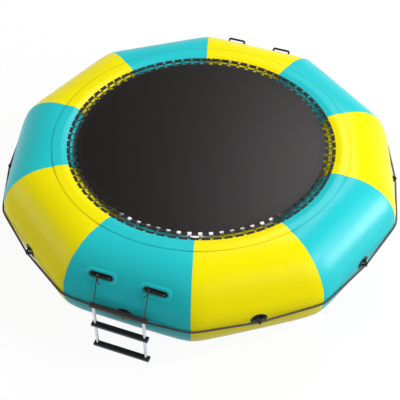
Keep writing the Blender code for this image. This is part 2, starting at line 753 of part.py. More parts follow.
def step_mesh(name):
    # The tread's section, grooved on top and rounded at its edges, run along the tube's direction.
    corner = (STEP_DEPTH / 2 - STEP_EDGE_RADIUS, STEP_THICKNESS - STEP_EDGE_RADIUS)
    right = arc((corner[0], -STEP_EDGE_RADIUS), STEP_EDGE_RADIUS, math.pi / 2, 0, STEP_EDGE_STEPS)
    right += arc((corner[0], -corner[1]), STEP_EDGE_RADIUS, 0, -math.pi / 2, STEP_EDGE_STEPS)
    left = [(-x, z) for x, z in reversed(right)]
    pitch = 2 * corner[0] / STEP_GROOVES
    top = []
    for number in range(STEP_GROOVES):
        middle = (number + 1 / 2) * pitch - corner[0]
        for x, z in ((-1, 0), (-1, -1), (1, -1), (1, 0)):
            top.append((middle + x * STEP_GROOVE_WIDTH / 2, z * STEP_GROOVE_DEPTH))
    section = extruded(name, [top + right + left], step_length)
    return moved(section, Matrix.Rotation(math.radians(90), 4, "X"))


def add_hanger_ropes(hinge, bar_spot, top_bar):
    # Each rope is tied round a handle's bar, at the hinge's axis, and pulls straight to the ladder's bar.
    ring_radius = HANDLE_BAR_RADIUS + TOUCH_GAP + HANGER_RADIUS
    pull = Vector((bar_spot.x, 0, bar_spot.z))
    direction = pull.normalized()
    start = ring_radius
    end = pull.length - LADDER_BAR_RADIUS + HANGER_IN_BAR
    count = round((end - start) / HANGER_POINT_SPACING)
    lean = math.atan2(-direction.x, -direction.z)
    turn = Matrix.Rotation(lean, 4, "Y")
    for name, side in (("hanger_rope_left", -1), ("hanger_rope_right", 1)):
        along = bar_spot.y + side * hanger_spacing / 2
        circle = arc((0, 0), ring_radius, 0, 2 * math.pi, HANGER_RING_STEPS)[:-1]
        ring = tube(name, [(x, 0, z) for x, z in circle], HANGER_RADIUS, 2, cyclic=True)
        drops = [start + (end - start) * k / count for k in range(count + 1)]
        fall = tube(name + "_fall", [(0, 0, -drop) for drop in drops], HANGER_RADIUS, 2)
        knot = mesh_from(name + "_knot", lambda bm: bmesh.ops.create_uvsphere(
            bm, u_segments=KNOT_SEGMENTS, v_segments=KNOT_RINGS, radius=KNOT_RADIUS
        ))
        knot_at = Vector((0, 0, -HANDLE_BAR_RADIUS - KNOT_CLEARANCE - KNOT_RADIUS))
        moved(knot, Matrix.Translation(knot_at))
        tail_run = Vector((0, -side * math.sin(KNOT_TAIL_LEAN), -math.cos(KNOT_TAIL_LEAN))) * KNOT_TAIL
        tail_end = knot_at + tail_run
        tail = tube(name + "_tail", [knot_at, (knot_at + tail_end) / 2, tail_end], HANGER_RADIUS, 1)
        rope = moved(fused(ring, knot, fall, tail), turn)
        add_part(name, rope, BLACK_CORD, hinge, (0, along, 0))
        depth = LADDER_BAR_RADIUS - HANGER_IN_BAR
        hole_depth = HANGER_IN_BAR + CUT_OVERRUN
        hole = round_bar(name + "_hole", HANGER_RADIUS + TOUCH_GAP, hole_depth, HANGER_HOLE_SIDES)
        middle = pull.length - depth + TOUCH_GAP - hole_depth / 2
        moved(hole, turn @ Matrix.Translation((0, 0, -middle)))
        cut(top_bar, add_cutter(name + "_hole", hole, hinge, (0, along, 0)))


# Valve

def add_valve(frame, wall):
    spot = on_facet(VALVE_FACET, along=VALVE_ALONG)
    turn = facet_turn(VALVE_FACET)
    flange_top = TOUCH_GAP + VALVE_FLANGE_THICKNESS
    neck_top = flange_top + VALVE_NECK_HEIGHT
    base = [
        (neck_radius, neck_top), (neck_radius, flange_top), (flange_radius, flange_top),
        (flange_radius, TOUCH_GAP), (barrel_radius, TOUCH_GAP),
        (barrel_radius, -VALVE_BARREL_DEPTH), (VALVE_BORE_RADIUS, -VALVE_BARREL_DEPTH),
        (VALVE_BORE_RADIUS, neck_top),
    ]
    base_mesh = turned("valve_base", base, VALVE_STEPS, closed=True)
    add_part("valve_base", base_mesh, BLACK_RUBBER, frame, spot, turn)
    hole = round_bar("valve_wall_hole", barrel_radius + TOUCH_GAP, 2 * CUT_OVERRUN, VALVE_STEPS)
    cut(wall, add_cutter("valve_wall_hole", hole, frame, spot, turn))

    rim_low = neck_top + TOUCH_GAP
    rim_top = rim_low + INSERT_RIM_THICKNESS
    shell = VALVE_BORE_RADIUS - TOUCH_GAP
    web_low = rim_low - INSERT_DEPTH
    web_top = web_low + INSERT_WEB_THICKNESS
    stem_hole = FLAP_STEM_RADIUS + TOUCH_GAP
    insert = [
        (insert_rim_radius, rim_top), (insert_rim_radius, rim_low), (shell, rim_low), (shell, web_low),
        (stem_hole, web_low), (stem_hole, web_top), (shell - INSERT_WALL, web_top),
        (shell - INSERT_WALL, rim_top),
    ]
    insert_mesh = turned("valve_insert", insert, VALVE_STEPS, closed=True)
    insert_part = add_part("valve_insert", insert_mesh, BLACK_PLASTIC, frame, spot, turn)
    for number in range(AIR_HOLE_COUNT):
        angle = 2 * math.pi * number / AIR_HOLE_COUNT
        name = f"air_hole_{number + 1}"
        air = round_bar(name, AIR_HOLE_RADIUS, INSERT_WEB_THICKNESS + CUT_OVERRUN, AIR_HOLE_SIDES)
        centre = ring_point((stem_hole + shell - INSERT_WALL) / 2, angle, (web_low + web_top) / 2)
        moved(air, Matrix.Translation(centre))
        cut(insert_part, add_cutter(name, air, frame, spot, turn))

    disc_top = web_low - TOUCH_GAP
    head_low = web_top + FLAP_TRAVEL + TOUCH_GAP
    flap = [
        (0, head_low + FLAP_HEAD_THICKNESS), (FLAP_HEAD_RADIUS, head_low + FLAP_HEAD_THICKNESS),
        (FLAP_HEAD_RADIUS, head_low), (FLAP_STEM_RADIUS, head_low), (FLAP_STEM_RADIUS, disc_top),
        (flap_radius, disc_top), (flap_radius, disc_top - FLAP_THICKNESS), (0, disc_top - FLAP_THICKNESS),
    ]
    add_part("valve_flap", turned("valve_flap", flap, VALVE_STEPS), BLACK_RUBBER, frame, spot, turn)
    add_valve_cap(frame, spot, turn, flange_top, rim_top)


def add_valve_cap(frame, spot, turn, flange_top, rim_top):
    # A closed cap whose strap ends in a round fold on the flange, on the hinge's axis.
    low = flange_top + TOUCH_GAP
    inside = neck_radius + CAP_SIDE_CLEARANCE
    outside = inside + CAP_WALL
    ceiling = rim_top + TOUCH_GAP
    profile = [
        (0, ceiling + CAP_WALL), (outside, ceiling + CAP_WALL), (outside, low), (inside, low),
        (inside, ceiling), (0, ceiling),
    ]
    shell = turned("valve_cap", profile, VALVE_STEPS)
    fold_radius = CAP_STRAP_THICKNESS / 2
    fold_out = flange_radius - fold_radius
    reach_in = inside + CAP_WALL / 2
    strap = mesh_from("cap_strap", lambda bm: bmesh.ops.create_cube(bm, size=1))
    size = Matrix.Diagonal((fold_out - reach_in, CAP_STRAP_WIDTH, CAP_STRAP_THICKNESS, 1))
    moved(strap, Matrix.Translation((-(fold_out + reach_in) / 2, 0, low + fold_radius)) @ size)
    fold = round_bar("cap_fold", fold_radius, CAP_STRAP_WIDTH, CAP_FOLD_SIDES)
    lie_across = Matrix.Rotation(math.radians(90), 4, "X")
    moved(fold, Matrix.Translation((-fold_out, 0, low + fold_radius)) @ lie_across)
    cap = fused(shell, strap, fold)
    hinge = Matrix.Translation(spot) @ turn.to_matrix().to_4x4() @ Vector((-fold_out, 0, low + fold_radius))
    moved(cap, Matrix.Translation((fold_out, 0, -low - fold_radius)))
    add_part("valve_cap", cap, BLACK_RUBBER, frame, hinge, turn)


# Anchor rings

def anchor_ring_mesh(name):
    # A D ring about its straight side, which lies along X at the origin, hanging down -Z.
    half = ANCHOR_RING_WIDTH / 2
    corner = half - ANCHOR_RING_WIRE_RADIUS
    arc_centre = ANCHOR_RING_DROP - half
    bow = arc((0, -arc_centre), half, 0, -math.pi, ANCHOR_RING_ARC_STEPS)
    path = [(-corner, 0), (0, 0), (corner, 0), (half, -ANCHOR_RING_WIRE_RADIUS)] + bow
    path.append((-half, -ANCHOR_RING_WIRE_RADIUS))
    return tube(name, [(x, 0, z) for x, z in path], ANCHOR_RING_WIRE_RADIUS, 2, cyclic=True)


def add_anchors(frames):
    strap_low = TOUCH_GAP + ANCHOR_PATCH_THICKNESS
    bar_height = strap_low + TOUCH_GAP + ANCHOR_STRAP_THICKNESS + ANCHOR_RING_WIRE_RADIUS
    for number, index in enumerate(ANCHOR_SEGMENTS):
        name = segment_name("anchor_patch", number)
        patch = round_bar(name, ANCHOR_PATCH_RADIUS, ANCHOR_PATCH_THICKNESS, ANCHOR_PATCH_SIDES)
        moved(patch, Matrix.Translation((0, 0, TOUCH_GAP + ANCHOR_PATCH_THICKNESS / 2)))
        strap = strap_mesh(
            name, strap_low, bar_height, ANCHOR_RING_WIRE_RADIUS + TOUCH_GAP,
            ANCHOR_STRAP_THICKNESS, ANCHOR_STRAP_SPREAD, anchor_strap_width,
        )
        spot = on_facet(ANCHOR_FACET)
        add_part(name, fused(patch, strap), BLACK_RUBBER, frames[index], spot, facet_turn(ANCHOR_FACET))
        name = segment_name("anchor_ring", number)
        pivot = on_facet(ANCHOR_FACET, above=bar_height)
        quarter = (0, 0, math.radians(90))
        add_part(name, anchor_ring_mesh(name), SILVER_TUBE, frames[index], pivot, quarter)


# Assembly

clear_scene()
parts = new_collection("water_trampoline")
cutters = new_collection("cutters")

segment_frames = []
for number in range(SEGMENT_COUNT):
    facing = LADDER_SEGMENT_TURN + number * segment_angle
    segment_frame = new_empty(segment_name("segment_frame", number), rotation=(0, 0, facing))
    segment_frames.append(segment_frame)
    fabric = TEAL_PVC if number % 2 == 0 else YELLOW_PVC
    tube_name = segment_name("tube_segment", number)
    segment = add_part(tube_name, tube_segment_mesh(tube_name), fabric, segment_frame)
    if number == VALVE_SEGMENT:
        valve_wall = segment
    add_skirt_panel(segment_name("skirt_panel", number), fabric, segment_frame)

add_mat_and_lacing()
add_rope_and_holders(segment_frames)
add_handles(segment_frames)
add_ladder(segment_frames[0])
add_valve(segment_frames[VALVE_SEGMENT], valve_wall)
add_anchors(segment_frames)
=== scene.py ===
import math

import bpy
import numpy as np
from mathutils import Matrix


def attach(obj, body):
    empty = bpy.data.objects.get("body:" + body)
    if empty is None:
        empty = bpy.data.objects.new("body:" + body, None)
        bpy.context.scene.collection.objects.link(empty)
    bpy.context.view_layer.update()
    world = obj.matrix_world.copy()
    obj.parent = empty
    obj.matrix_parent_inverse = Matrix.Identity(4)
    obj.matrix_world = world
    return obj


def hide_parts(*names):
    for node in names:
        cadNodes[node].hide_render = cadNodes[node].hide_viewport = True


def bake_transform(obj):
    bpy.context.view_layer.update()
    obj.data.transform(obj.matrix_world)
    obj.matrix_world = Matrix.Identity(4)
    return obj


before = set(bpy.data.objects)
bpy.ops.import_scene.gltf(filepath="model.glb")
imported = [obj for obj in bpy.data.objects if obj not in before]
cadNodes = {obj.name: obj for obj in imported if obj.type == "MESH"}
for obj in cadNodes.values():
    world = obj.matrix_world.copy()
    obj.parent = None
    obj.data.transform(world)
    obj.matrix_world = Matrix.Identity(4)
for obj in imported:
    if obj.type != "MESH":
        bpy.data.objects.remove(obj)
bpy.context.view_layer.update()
print("frame loaded:", len(cadNodes), "nodes")

# Ring: ten segments round the Z axis. Metres, with z = 0 at the top of the mat.
ring = {
    "segments": 10, "firstTurn": math.radians(-90), "middle": 1.160, "tubeRadius": 0.365,
    "matAboveTube": 0.350, "seamGap": 0.0003, "gap": 0.0003,
}
segmentTurn = 2 * math.pi / ring["segments"]
halfTurn = segmentTurn / 2
wallFace = ring["middle"] + ring["tubeRadius"]


# Camera

cameraSet = {"place": (1.997, -5.315, 5.157), "tilt": 44.27, "pan": 20.69, "lens": 87.80, "sensor": 36.0}


def addObject(name, data):
    thing = bpy.data.objects.new(name, data)
    bpy.context.scene.collection.objects.link(thing)
    return thing


def makeCamera():
    data = bpy.data.cameras.new("photoCamera")
    data.lens = cameraSet["lens"]
    data.sensor_width = cameraSet["sensor"]
    data.clip_end = 60
    camera = addObject("photoCamera", data)
    camera.location = cameraSet["place"]
    camera.rotation_euler = (math.radians(cameraSet["tilt"]), 0, math.radians(cameraSet["pan"]))
    bpy.context.scene.camera = camera


makeCamera()
print("camera placed")


# Materials: sockets that plain signs work on, and one method for every node

def sign(operation):  # what a sign does between a socket and another, or a number
    return lambda self, other: self.paint.maths(operation, self, other)


class Signal:
    __add__, __sub__, __mul__ = sign("ADD"), sign("SUBTRACT"), sign("MULTIPLY")
    __truediv__, __pow__ = sign("DIVIDE"), sign("POWER")

    def __init__(self, paint, socket):
        self.paint, self.socket = paint, socket

    def wave(self, pitch):  # a cosine from 0 to 1 that repeats each pitch
        return self.paint.maths("COSINE", self * (2 * math.pi / pitch)) * 0.5 + 0.5

    def band(self, middle, halfWidth, soft):  # 1 within halfWidth of the middle, fading over soft
        off = self.paint.maths("ABSOLUTE", self - middle)
        return self.paint.ramp(off, halfWidth + soft, halfWidth)


class Paint:
    def __init__(self, owner):  # a material or a world
        owner.use_nodes = True
        self.owner, self.tree = owner, owner.node_tree
        self.tree.nodes.clear()

    def add(self, kind, inputs=None, **settings):
        node = self.tree.nodes.new("ShaderNode" + kind)
        for key, value in settings.items():
            setattr(node, key, value)
        for key, value in (inputs or {}).items():
            if isinstance(value, Signal):
                self.tree.links.new(value.socket, node.inputs[key])
            else:
                node.inputs[key].default_value = value
        return node

    def take(self, kind, inputs=None, key=0, **settings):  # a new node's output
        return Signal(self, self.add(kind, inputs, **settings).outputs[key])

    def maths(self, operation, *values):
        return self.take("Math", dict(enumerate(values)), operation=operation)

    def ramp(self, value, low, high):
        inputs = {"Value": value, "From Min": low, "From Max": high}
        return self.take("MapRange", inputs, interpolation_type="SMOOTHSTEP")

    def mix(self, factor, first, second):
        return self.take("Mix", {0: factor, 6: first, 7: second}, 2, data_type="RGBA")

    def place(self, kind="Object"):
        return self.take("TexCoord", key=kind)

    def split(self, vector):
        return [Signal(self, socket) for socket in self.add("SeparateXYZ", {0: vector}).outputs]

    def stretched(self, vector, scale):
        return self.take("VectorMath", {0: vector, 1: scale}, operation="MULTIPLY")

    def noise(self, vector, scale, detail=2.0, rough=0.5):
        inputs = {"Vector": vector, "Scale": scale, "Detail": detail, "Roughness": rough}
        return self.take("TexNoise", inputs)

    def bump(self, height, distance, strength=1.0, under=None):
        inputs = {"Height": height, "Distance": distance, "Strength": strength}
        if under is not None:
            inputs["Normal"] = under
        return self.take("Bump", inputs)

    def seen(self):
        # 1 for the rays of the camera, of gloss and of glass, and 0 for those that light the part.
        kinds = self.add("LightPath").outputs
        rays = Signal(self, kinds["Is Camera Ray"])
        for kind in ("Is Glossy Ray", "Is Transmission Ray"):
            rays = self.maths("MAXIMUM", rays, Signal(self, kinds[kind]))
        return rays

    def surface(self, colour, roughness, normal, fixed=None):
        inputs = {"Base Color": colour, "Roughness": roughness, "Normal": normal, **(fixed or {})}
        self.add("OutputMaterial", {"Surface": self.take("BsdfPrincipled", inputs)})
        return self.owner


def newPaint(name):
    return Paint(bpy.data.materials.new(name))


def linear(red, green, blue, share=1.0):
    # A screen colour, 0 to 255, as the shader's linear numbers, made lighter or darker by a share.
    tones = np.array([red, green, blue]) / 255
    tones = np.where(tones <= 0.04045, tones / 12.92, ((tones + 0.055) / 1.055) ** 2.4)
    return (*np.clip(tones * share, 0, 1).tolist(), 1.0)


# Coated fabric of the tubes. Its flat places are in metres on the UV map. "weld" marks welded edges, which
# take a share of the fabric's tone, cover so much of it, and step down by so many metres. On the tube the
# share is darker: faint dark joints at the seams and panel ends, and a painted shade line along the skirt's
# outer weld where the skirt's edge would cast its shadow. On a handle's patch it is paler: a painted
# highlight round the patch's rim.
fabricLook = {
    "teal": (40, 202, 209), "yellow": (253, 237, 3), "deep": 0.93, "clear": 1.05, "thread": 0.0012,
    "threadHeight": 0.00003, "billow": 0.0008, "roughness": 0.32, "gloss": 0.10,
    # darker at welds: dark joints, and a painted shade line at the skirt's outer weld
    "CoatedFabric": {"tone": 0.35, "cover": 0.35, "step": 0.0045},
    # paler at a patch's rim: a painted highlight
    "PatchFabric": {"tone": 1.45, "cover": 0.85, "step": 0.0},
}


def coatedFabric(tone, part):
    # Cloudy patches of two near tones. A step down is darker on the side away from the light.
    paint = newPaint(tone + part)
    tone, edge = fabricLook[tone], fabricLook[part]
    spot = paint.place()
    across, along, _ = paint.split(paint.place("UV"))
    weld = paint.take("Attribute", key="Fac", attribute_name="weld")
    cloud = paint.noise(spot, 2.2, 3.0)
    patchy = paint.noise(spot, 14.0, 4.0, 0.6)
    deep, clear = linear(*tone, fabricLook["deep"]), linear(*tone, fabricLook["clear"])
    colour = paint.mix(cloud * 0.7 + patchy * 0.3, deep, clear)
    # The weld mark takes the edge's tone: painted shade at the skirt's outer weld, a painted highlight at a
    # patch's rim.
    colour = paint.mix(weld * edge["cover"], colour, linear(*tone, edge["tone"]))
    roughness = patchy * 0.12 + (fabricLook["roughness"] - 0.06)
    threads = across.wave(fabricLook["thread"]) + along.wave(fabricLook["thread"])
    weave = paint.bump(threads, fabricLook["threadHeight"], 0.6)
    swell = paint.noise(spot, 7.0, 1.0)
    normal = paint.bump(swell + patchy * 0.06, fabricLook["billow"], 0.8, weave)
    if edge["step"]:
        normal = paint.bump(weld * -1.0, edge["step"], 1.0, normal)
    return paint.surface(colour, roughness, normal, {"Specular IOR Level": fabricLook["gloss"]})


# Jump mat: a tight plain weave, with rows of stitches round the edge where the webbing is sewn on.
matLook = {
    "dark": (13, 7, 5), "light": (19, 12, 10), "pitch": 0.0022, "weaveHeight": 0.0002,
    "stitchRows": (0.935, 0.949, 0.963), "rowHalf": 0.0006, "rowSoft": 0.0004, "stitch": 0.0070,
    "stitchHeight": 0.0006, "thread": (28, 22, 21), "roughness": 0.35, "gloss": 0.20,
}


def wovenMat(name):
    paint = newPaint(name)
    spot = paint.place()
    x, y, _ = paint.split(spot)
    radius = (x * x + y * y) ** 0.5
    around = paint.maths("ARCTAN2", y, x) * 0.95
    pitch = matLook["pitch"]
    over = x.wave(pitch) * y.wave(pitch)
    weave = over + (x + pitch / 2).wave(pitch) * (y + pitch / 2).wave(pitch)
    first, *others = matLook["stitchRows"]
    rows = radius.band(first, matLook["rowHalf"], matLook["rowSoft"])
    for row in others:
        rows = rows + radius.band(row, matLook["rowHalf"], matLook["rowSoft"])
    stitches = rows * paint.ramp(around.wave(matLook["stitch"]), 0.25, 0.45)
    cloud = paint.noise(spot, 1.6, 3.0)
    worn = paint.noise(spot, 26.0, 4.0, 0.65)
    colour = paint.mix(cloud * 0.6 + worn * 0.4, linear(*matLook["dark"]), linear(*matLook["light"]))
    colour = paint.mix(stitches * 0.8, colour, linear(*matLook["thread"]))
    roughness = worn * 0.05 + cloud * 0.03 + matLook["roughness"]
    grain = paint.bump(weave, matLook["weaveHeight"], 0.4)
    normal = paint.bump(stitches + worn * 0.04, matLook["stitchHeight"], 0.6, grain)
    return paint.surface(colour, roughness, normal, {"Specular IOR Level": matLook["gloss"]})


# Webbing: ribs along the band and a fine cross weave. UV is in metres, along the band first.
webbingLook = {
    "dark": (20, 18, 21), "light": (35, 32, 36), "rib": 0.0016, "pick": 0.0009, "height": 0.0003,
    "roughness": 0.62, "sheen": 0.06, "gloss": 0.35,
}


def wovenWebbing(name):
    paint = newPaint(name)
    along, across, _ = paint.split(paint.place("UV"))
    spot = paint.place()
    ribs = across.wave(webbingLook["rib"])
    picks = along.wave(webbingLook["pick"])
    fuzz = paint.noise(spot, 160.0, 3.0, 0.6)
    colour = paint.mix(ribs * 0.5 + fuzz * 0.5, linear(*webbingLook["dark"]), linear(*webbingLook["light"]))
    roughness = fuzz * 0.15 + webbingLook["roughness"]
    normal = paint.bump(ribs + picks * 0.4 + fuzz * 0.2, webbingLook["height"], 0.7)
    fixed = {"Sheen Weight": webbingLook["sheen"], "Specular IOR Level": webbingLook["gloss"]}
    return paint.surface(colour, roughness, normal, fixed)


# Braided or laid cord: two waves that climb opposite ways. UV runs in metres along it, and 0 to 1 round it.
def cordFinish(name, dark, light, strands, lay, depth):
    paint = newPaint(name)
    along, around, _ = paint.split(paint.place("UV"))
    spot = paint.place()
    left = (along / lay + around * strands).wave(1.0)
    right = (along / lay - around * strands).wave(1.0)
    braid = paint.maths("MAXIMUM", left, right)
    fuzz = paint.noise(spot, 220.0, 3.0, 0.65)
    colour = paint.mix(braid * 0.55 + fuzz * 0.45, linear(*dark), linear(*light))
    roughness = fuzz * 0.14 + 0.66
    normal = paint.bump(braid + fuzz * 0.25, depth, 0.8)
    return paint.surface(colour, roughness, normal, {"Sheen Weight": 0.25})


# Moulded rubber and plastic: a fine grain, rubbed paler here and there.
def mouldedFinish(name, dark, light, rough, grainScale, grainDepth, coat=0.0, gloss=0.5):
    paint = newPaint(name)
    spot = paint.place()
    grain = paint.noise(spot, grainScale, 3.0, 0.6)
    rubbed = paint.noise(spot, 18.0, 4.0, 0.6)
    colour = paint.mix(rubbed * 0.6 + grain * 0.4, linear(*dark), linear(*light))
    roughness = rubbed * 0.16 + (rough - 0.08)
    normal = paint.bump(grain, grainDepth, 0.6)
    fixed = {"Coat Weight": coat, "Coat Roughness": 0.2, "Specular IOR Level": gloss}
    return paint.surface(colour, roughness, normal, fixed)


# Brushed metal: fine streaks that run along Z on the rails, and a fine even grain on the rings.
def brushedMetal(name, tone, streaks):
    paint = newPaint(name)
    spot = paint.place()
    lines = paint.noise(paint.stretched(spot, streaks), 1.0, 3.0, 0.6)
    smudge = paint.noise(spot, 9.0, 3.0)
    colour = paint.mix(smudge * 0.5 + lines * 0.5, linear(*tone, 0.84), linear(*tone, 1.06))
    roughness = lines * 0.14 + smudge * 0.08 + 0.16
    normal = paint.bump(lines, 0.00005, 0.5)
    return paint.surface(colour, roughness, normal, {"Metallic": 1.0})


# Finishes, each a material and its slot. The tube's two fabrics, and their patches, take turns.
fabrics, patchFabrics = (
    [(coatedFabric(tone, part), tone + "_pvc") for tone in ("teal", "yellow")]
    for part in ("CoatedFabric", "PatchFabric")
)
matCloth = wovenMat("wovenMat"), "black_mat"
webbing = wovenWebbing("blackWebbing"), "black_webbing"
laceBraid, ropeYarn, hangerBraid = ((cordFinish(*look), "black_cord") for look in (
    ("laceBraid", (24, 22, 22), (48, 45, 44), 6, 0.011, 0.0004),
    ("ropeYarn", (36, 33, 32), (74, 69, 67), 21, 0.016, 0.0003),
    ("hangerBraid", (20, 18, 18), (44, 40, 38), 8, 0.014, 0.0004),
))
gripRubber, holderRubber, barSleeve, stepPlastic = ((mouldedFinish(*look), slot) for slot, *look in (
    ("black_rubber", "gripRubber", (10, 10, 11), (24, 23, 25), 0.34, 900.0, 0.00006, 0.08, 0.3),
    ("black_rubber", "holderRubber", (8, 8, 9), (19, 18, 19), 0.36, 700.0, 0.00005, 0.03, 0.22),
    ("black_rubber", "barSleeve", (38, 30, 27), (58, 48, 44), 0.46, 500.0, 0.00012),
    ("black_plastic", "stepPlastic", (17, 17, 19), (38, 38, 41), 0.40, 600.0, 0.00008),
))
railSteel, ringSteel = ((brushedMetal(*look), "silver_tube") for look in (
    ("railSteel", (214, 217, 222), (900.0, 900.0, 7.0)),
    ("ringSteel", (205, 208, 213), (260.0, 260.0, 260.0)),
))
print("materials made")


# Shapes: patches of points on a grid, joined into one mesh for each piece

def join(*parts):  # arrays end to end
    return np.concatenate(parts)


def beside(*parts):  # arrays side by side, on a new last axis
    return np.stack(np.broadcast_arrays(*parts), -1)


def unit(arrows):  # the same directions with length 1
    return arrows / np.linalg.norm(arrows, axis=-1, keepdims=True)


def roundTurns(sides):  # angles evenly round a circle
    return np.arange(sides) * 2 * math.pi / sides


def gridUv(down, across):
    # Flat places of a grid: one number for each row, and one for each column and the one after it.
    return beside(*np.meshgrid(down, across, indexing="ij"))


def gridPatch(points, uv, endless=False, fold=None):
    # Rows of points, each row a loop round the piece. An endless patch joins its last row to its first.
    # Any other has its two end rows closed: a round one with a fan to its middle, and a thin one with a
    # strip between its two sides, which start at the two columns of the fold and run away from it. The
    # flat places have one more column than the points, and one more row when endless. Faces are turned
    # by the sign of the volume that they enclose.
    rows, columns = points.shape[:2]
    i, j = (k.ravel() for k in np.indices((rows if endless else rows - 1, columns)))
    following, beyond = (j + 1) % columns, (i + 1) % rows * columns
    quads = beside(i * columns + j, i * columns + following, beyond + following, beyond + j)
    quadUv = np.stack([uv[i, j], uv[i, j + 1], uv[i + 1, j + 1], uv[i + 1, j]], 1)
    corners = points.reshape(-1, 3)
    fans, fanUv = np.zeros((0, 3), int), np.zeros((0, 3, 2))
    last = (rows - 1) * columns
    if fold and not endless:
        steps = np.arange(columns // 2 + (fold[0] == fold[1]))
        near, far = (fold[0] + steps) % columns, (fold[1] - steps) % columns
        strip = join(beside(near[:-1], near[1:], far[1:]), beside(near[:-1], far[1:], far[:-1]))
        a, b, c = strip.T
        strip = strip[(a != b) & (b != c) & (c != a)]
        fans = join(strip[:, ::-1], strip + last)
        fanUv = join(uv[0, strip[:, ::-1]], uv[-1, strip])
    elif not endless:
        j = np.arange(columns)
        following = (j + 1) % columns
        final = beside(last + j, last + following, rows * columns + 1)
        fans = join(beside(following, j, rows * columns), final)
        corners = join(corners, points[[0, -1]].mean(1))
        middles = np.broadcast_to(uv[[0, -1]].mean(1)[:, None], (2, columns, 2))
        firstUv = np.stack([uv[0, j + 1], uv[0, j], middles[0]], 1)
        fanUv = join(firstUv, np.stack([uv[-1, j], uv[-1, j + 1], middles[1]], 1))
    triangles = join(quads[:, :3], quads[:, [0, 2, 3]], fans)
    a, b, c = (corners[triangles[:, k]] for k in range(3))
    if (a * np.cross(b, c)).sum() < 0:
        quads, quadUv, fans, fanUv = (part[:, ::-1] for part in (quads, quadUv, fans, fanUv))
    return {"corners": corners, "quads": quads, "quadUv": quadUv, "fans": fans, "fanUv": fanUv}


def makePiece(name, patches, finish, stands=None, body="hull", weld=None, sharp=35):
    # One object from its patches, at the origin, with its place in its mesh.
    starts = np.cumsum([0] + [len(p["corners"]) for p in patches[:-1]])
    corners = join(*(p["corners"] for p in patches))
    quads, fans = (join(*(p[kind] + s for p, s in zip(patches, starts))) for kind in ("quads", "fans"))
    loops = join(quads.ravel(), fans.ravel()).astype(np.int32)
    uv = join(*(p[kind].reshape(-1, 2) for kind in ("quadUv", "fanUv") for p in patches))
    sizes = np.repeat([4, 3], [len(quads), len(fans)]).astype(np.int32)
    mesh = bpy.data.meshes.new(name)
    mesh.vertices.add(len(corners))
    mesh.vertices.foreach_set("co", corners.astype(np.float32).ravel())
    mesh.loops.add(len(loops))
    mesh.loops.foreach_set("vertex_index", loops)
    mesh.polygons.add(len(sizes))
    mesh.polygons.foreach_set("loop_start", (np.cumsum(sizes) - sizes).astype(np.int32))
    mesh.update(calc_edges=True)
    mesh.uv_layers.new(name="flat").data.foreach_set("uv", uv.astype(np.float32).ravel())
    if weld:
        marks = mesh.attributes.new("weld", "FLOAT", "POINT")
        marks.data.foreach_set("value", np.asarray(weld(corners), np.float32))
    mesh.validate()
    mesh.shade_smooth()
    mesh.set_sharp_from_angle(angle=math.radians(sharp))
    mesh.materials.append(finish[0])
    piece = addObject(name, mesh)
    if body:
        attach(piece, body)
    if stands:
        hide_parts(stands)
    return piece


def numbered(index):  # as the nodes count, from 01
    return f"{index + 1:02d}"


def runLength(points, closed=False):
    # Distance along a line of points, ending with the whole length when the line closes.
    steps = np.diff(points, axis=0, append=points[:1] if closed else points[-1:])
    lengths = join([0], np.cumsum(np.linalg.norm(steps, axis=-1)))
    return lengths if closed else lengths[:-1]


def fromSegment(index, out, along, up):
    # Out from the ring's middle, along the tube and up, turned to where that segment stands.
    turn = ring["firstTurn"] + index * segmentTurn
    x = out * math.cos(turn) - along * math.sin(turn)
    return beside(x, out * math.sin(turn) + along * math.cos(turn), up)


def onFacet(index, facet, along, slope, above):
    # A flat frame that touches the tube at this angle: along the tube, up its slope, and off it.
    reach = ring["tubeRadius"] + above
    out = ring["middle"] + reach * math.cos(facet) - slope * math.sin(facet)
    up = reach * math.sin(facet) + slope * math.cos(facet) - ring["matAboveTube"]
    return fromSegment(index, out, along, up)


def onSkin(index, facet, along, slope, above):
    # The same places wrapped on the round tube, so that a thin patch lies on it all over.
    angle = facet + slope / ring["tubeRadius"]
    reach = ring["tubeRadius"] + above
    out = ring["middle"] + reach * np.cos(angle)
    return fromSegment(index, out, along, reach * np.sin(angle) - ring["matAboveTube"])


def placer(surface, index, facet, along=0.0, slope=0.0, above=0.0):
    # The same surface seen from one of its points: the places are given as steps from there.
    return lambda x, y, h: surface(index, facet, along + x, slope + y, above + h)


def padProfile(shares, thickness):
    # A pad's profile, its heights as shares of its thickness, over the small gap under it.
    return [(out, ring["gap"] + thickness * share) for out, share in shares]


def discPatch(put, profile, sides, length=1.0, width=1.0, power=2.0):
    # A turned form: each (radius, height) of the profile goes once round an oval or a rounder square,
    # |x|^power + |y|^power = 1, and put() places it. Both ends are closed at their middle.
    profile = np.array(profile, float)
    turn = roundTurns(sides)
    x = np.sign(np.cos(turn)) * np.abs(np.cos(turn)) ** (2 / power) * length
    y = np.sign(np.sin(turn)) * np.abs(np.sin(turn)) ** (2 / power) * width
    places = np.arange(sides + 1) * 2 * math.pi * profile[:, 0].max() / sides
    points = put(profile[:, :1] * x, profile[:, :1] * y, profile[:, 1:])
    return gridPatch(points, gridUv(runLength(profile), places)[..., ::-1])


def roundedBox(width, height, radius):
    # A rectangle about the origin whose corners are quarter circles.
    turn = np.linspace(0, math.pi / 2, 4)
    corner = beside(np.cos(turn), np.sin(turn)) * radius + [width / 2 - radius, height / 2 - radius]
    left = corner[::-1] * [-1, 1]
    return join(corner, left, -corner, -left)


def circleSection(radius, sides):
    turn = roundTurns(sides)
    return beside(np.cos(turn), np.sin(turn)) * radius


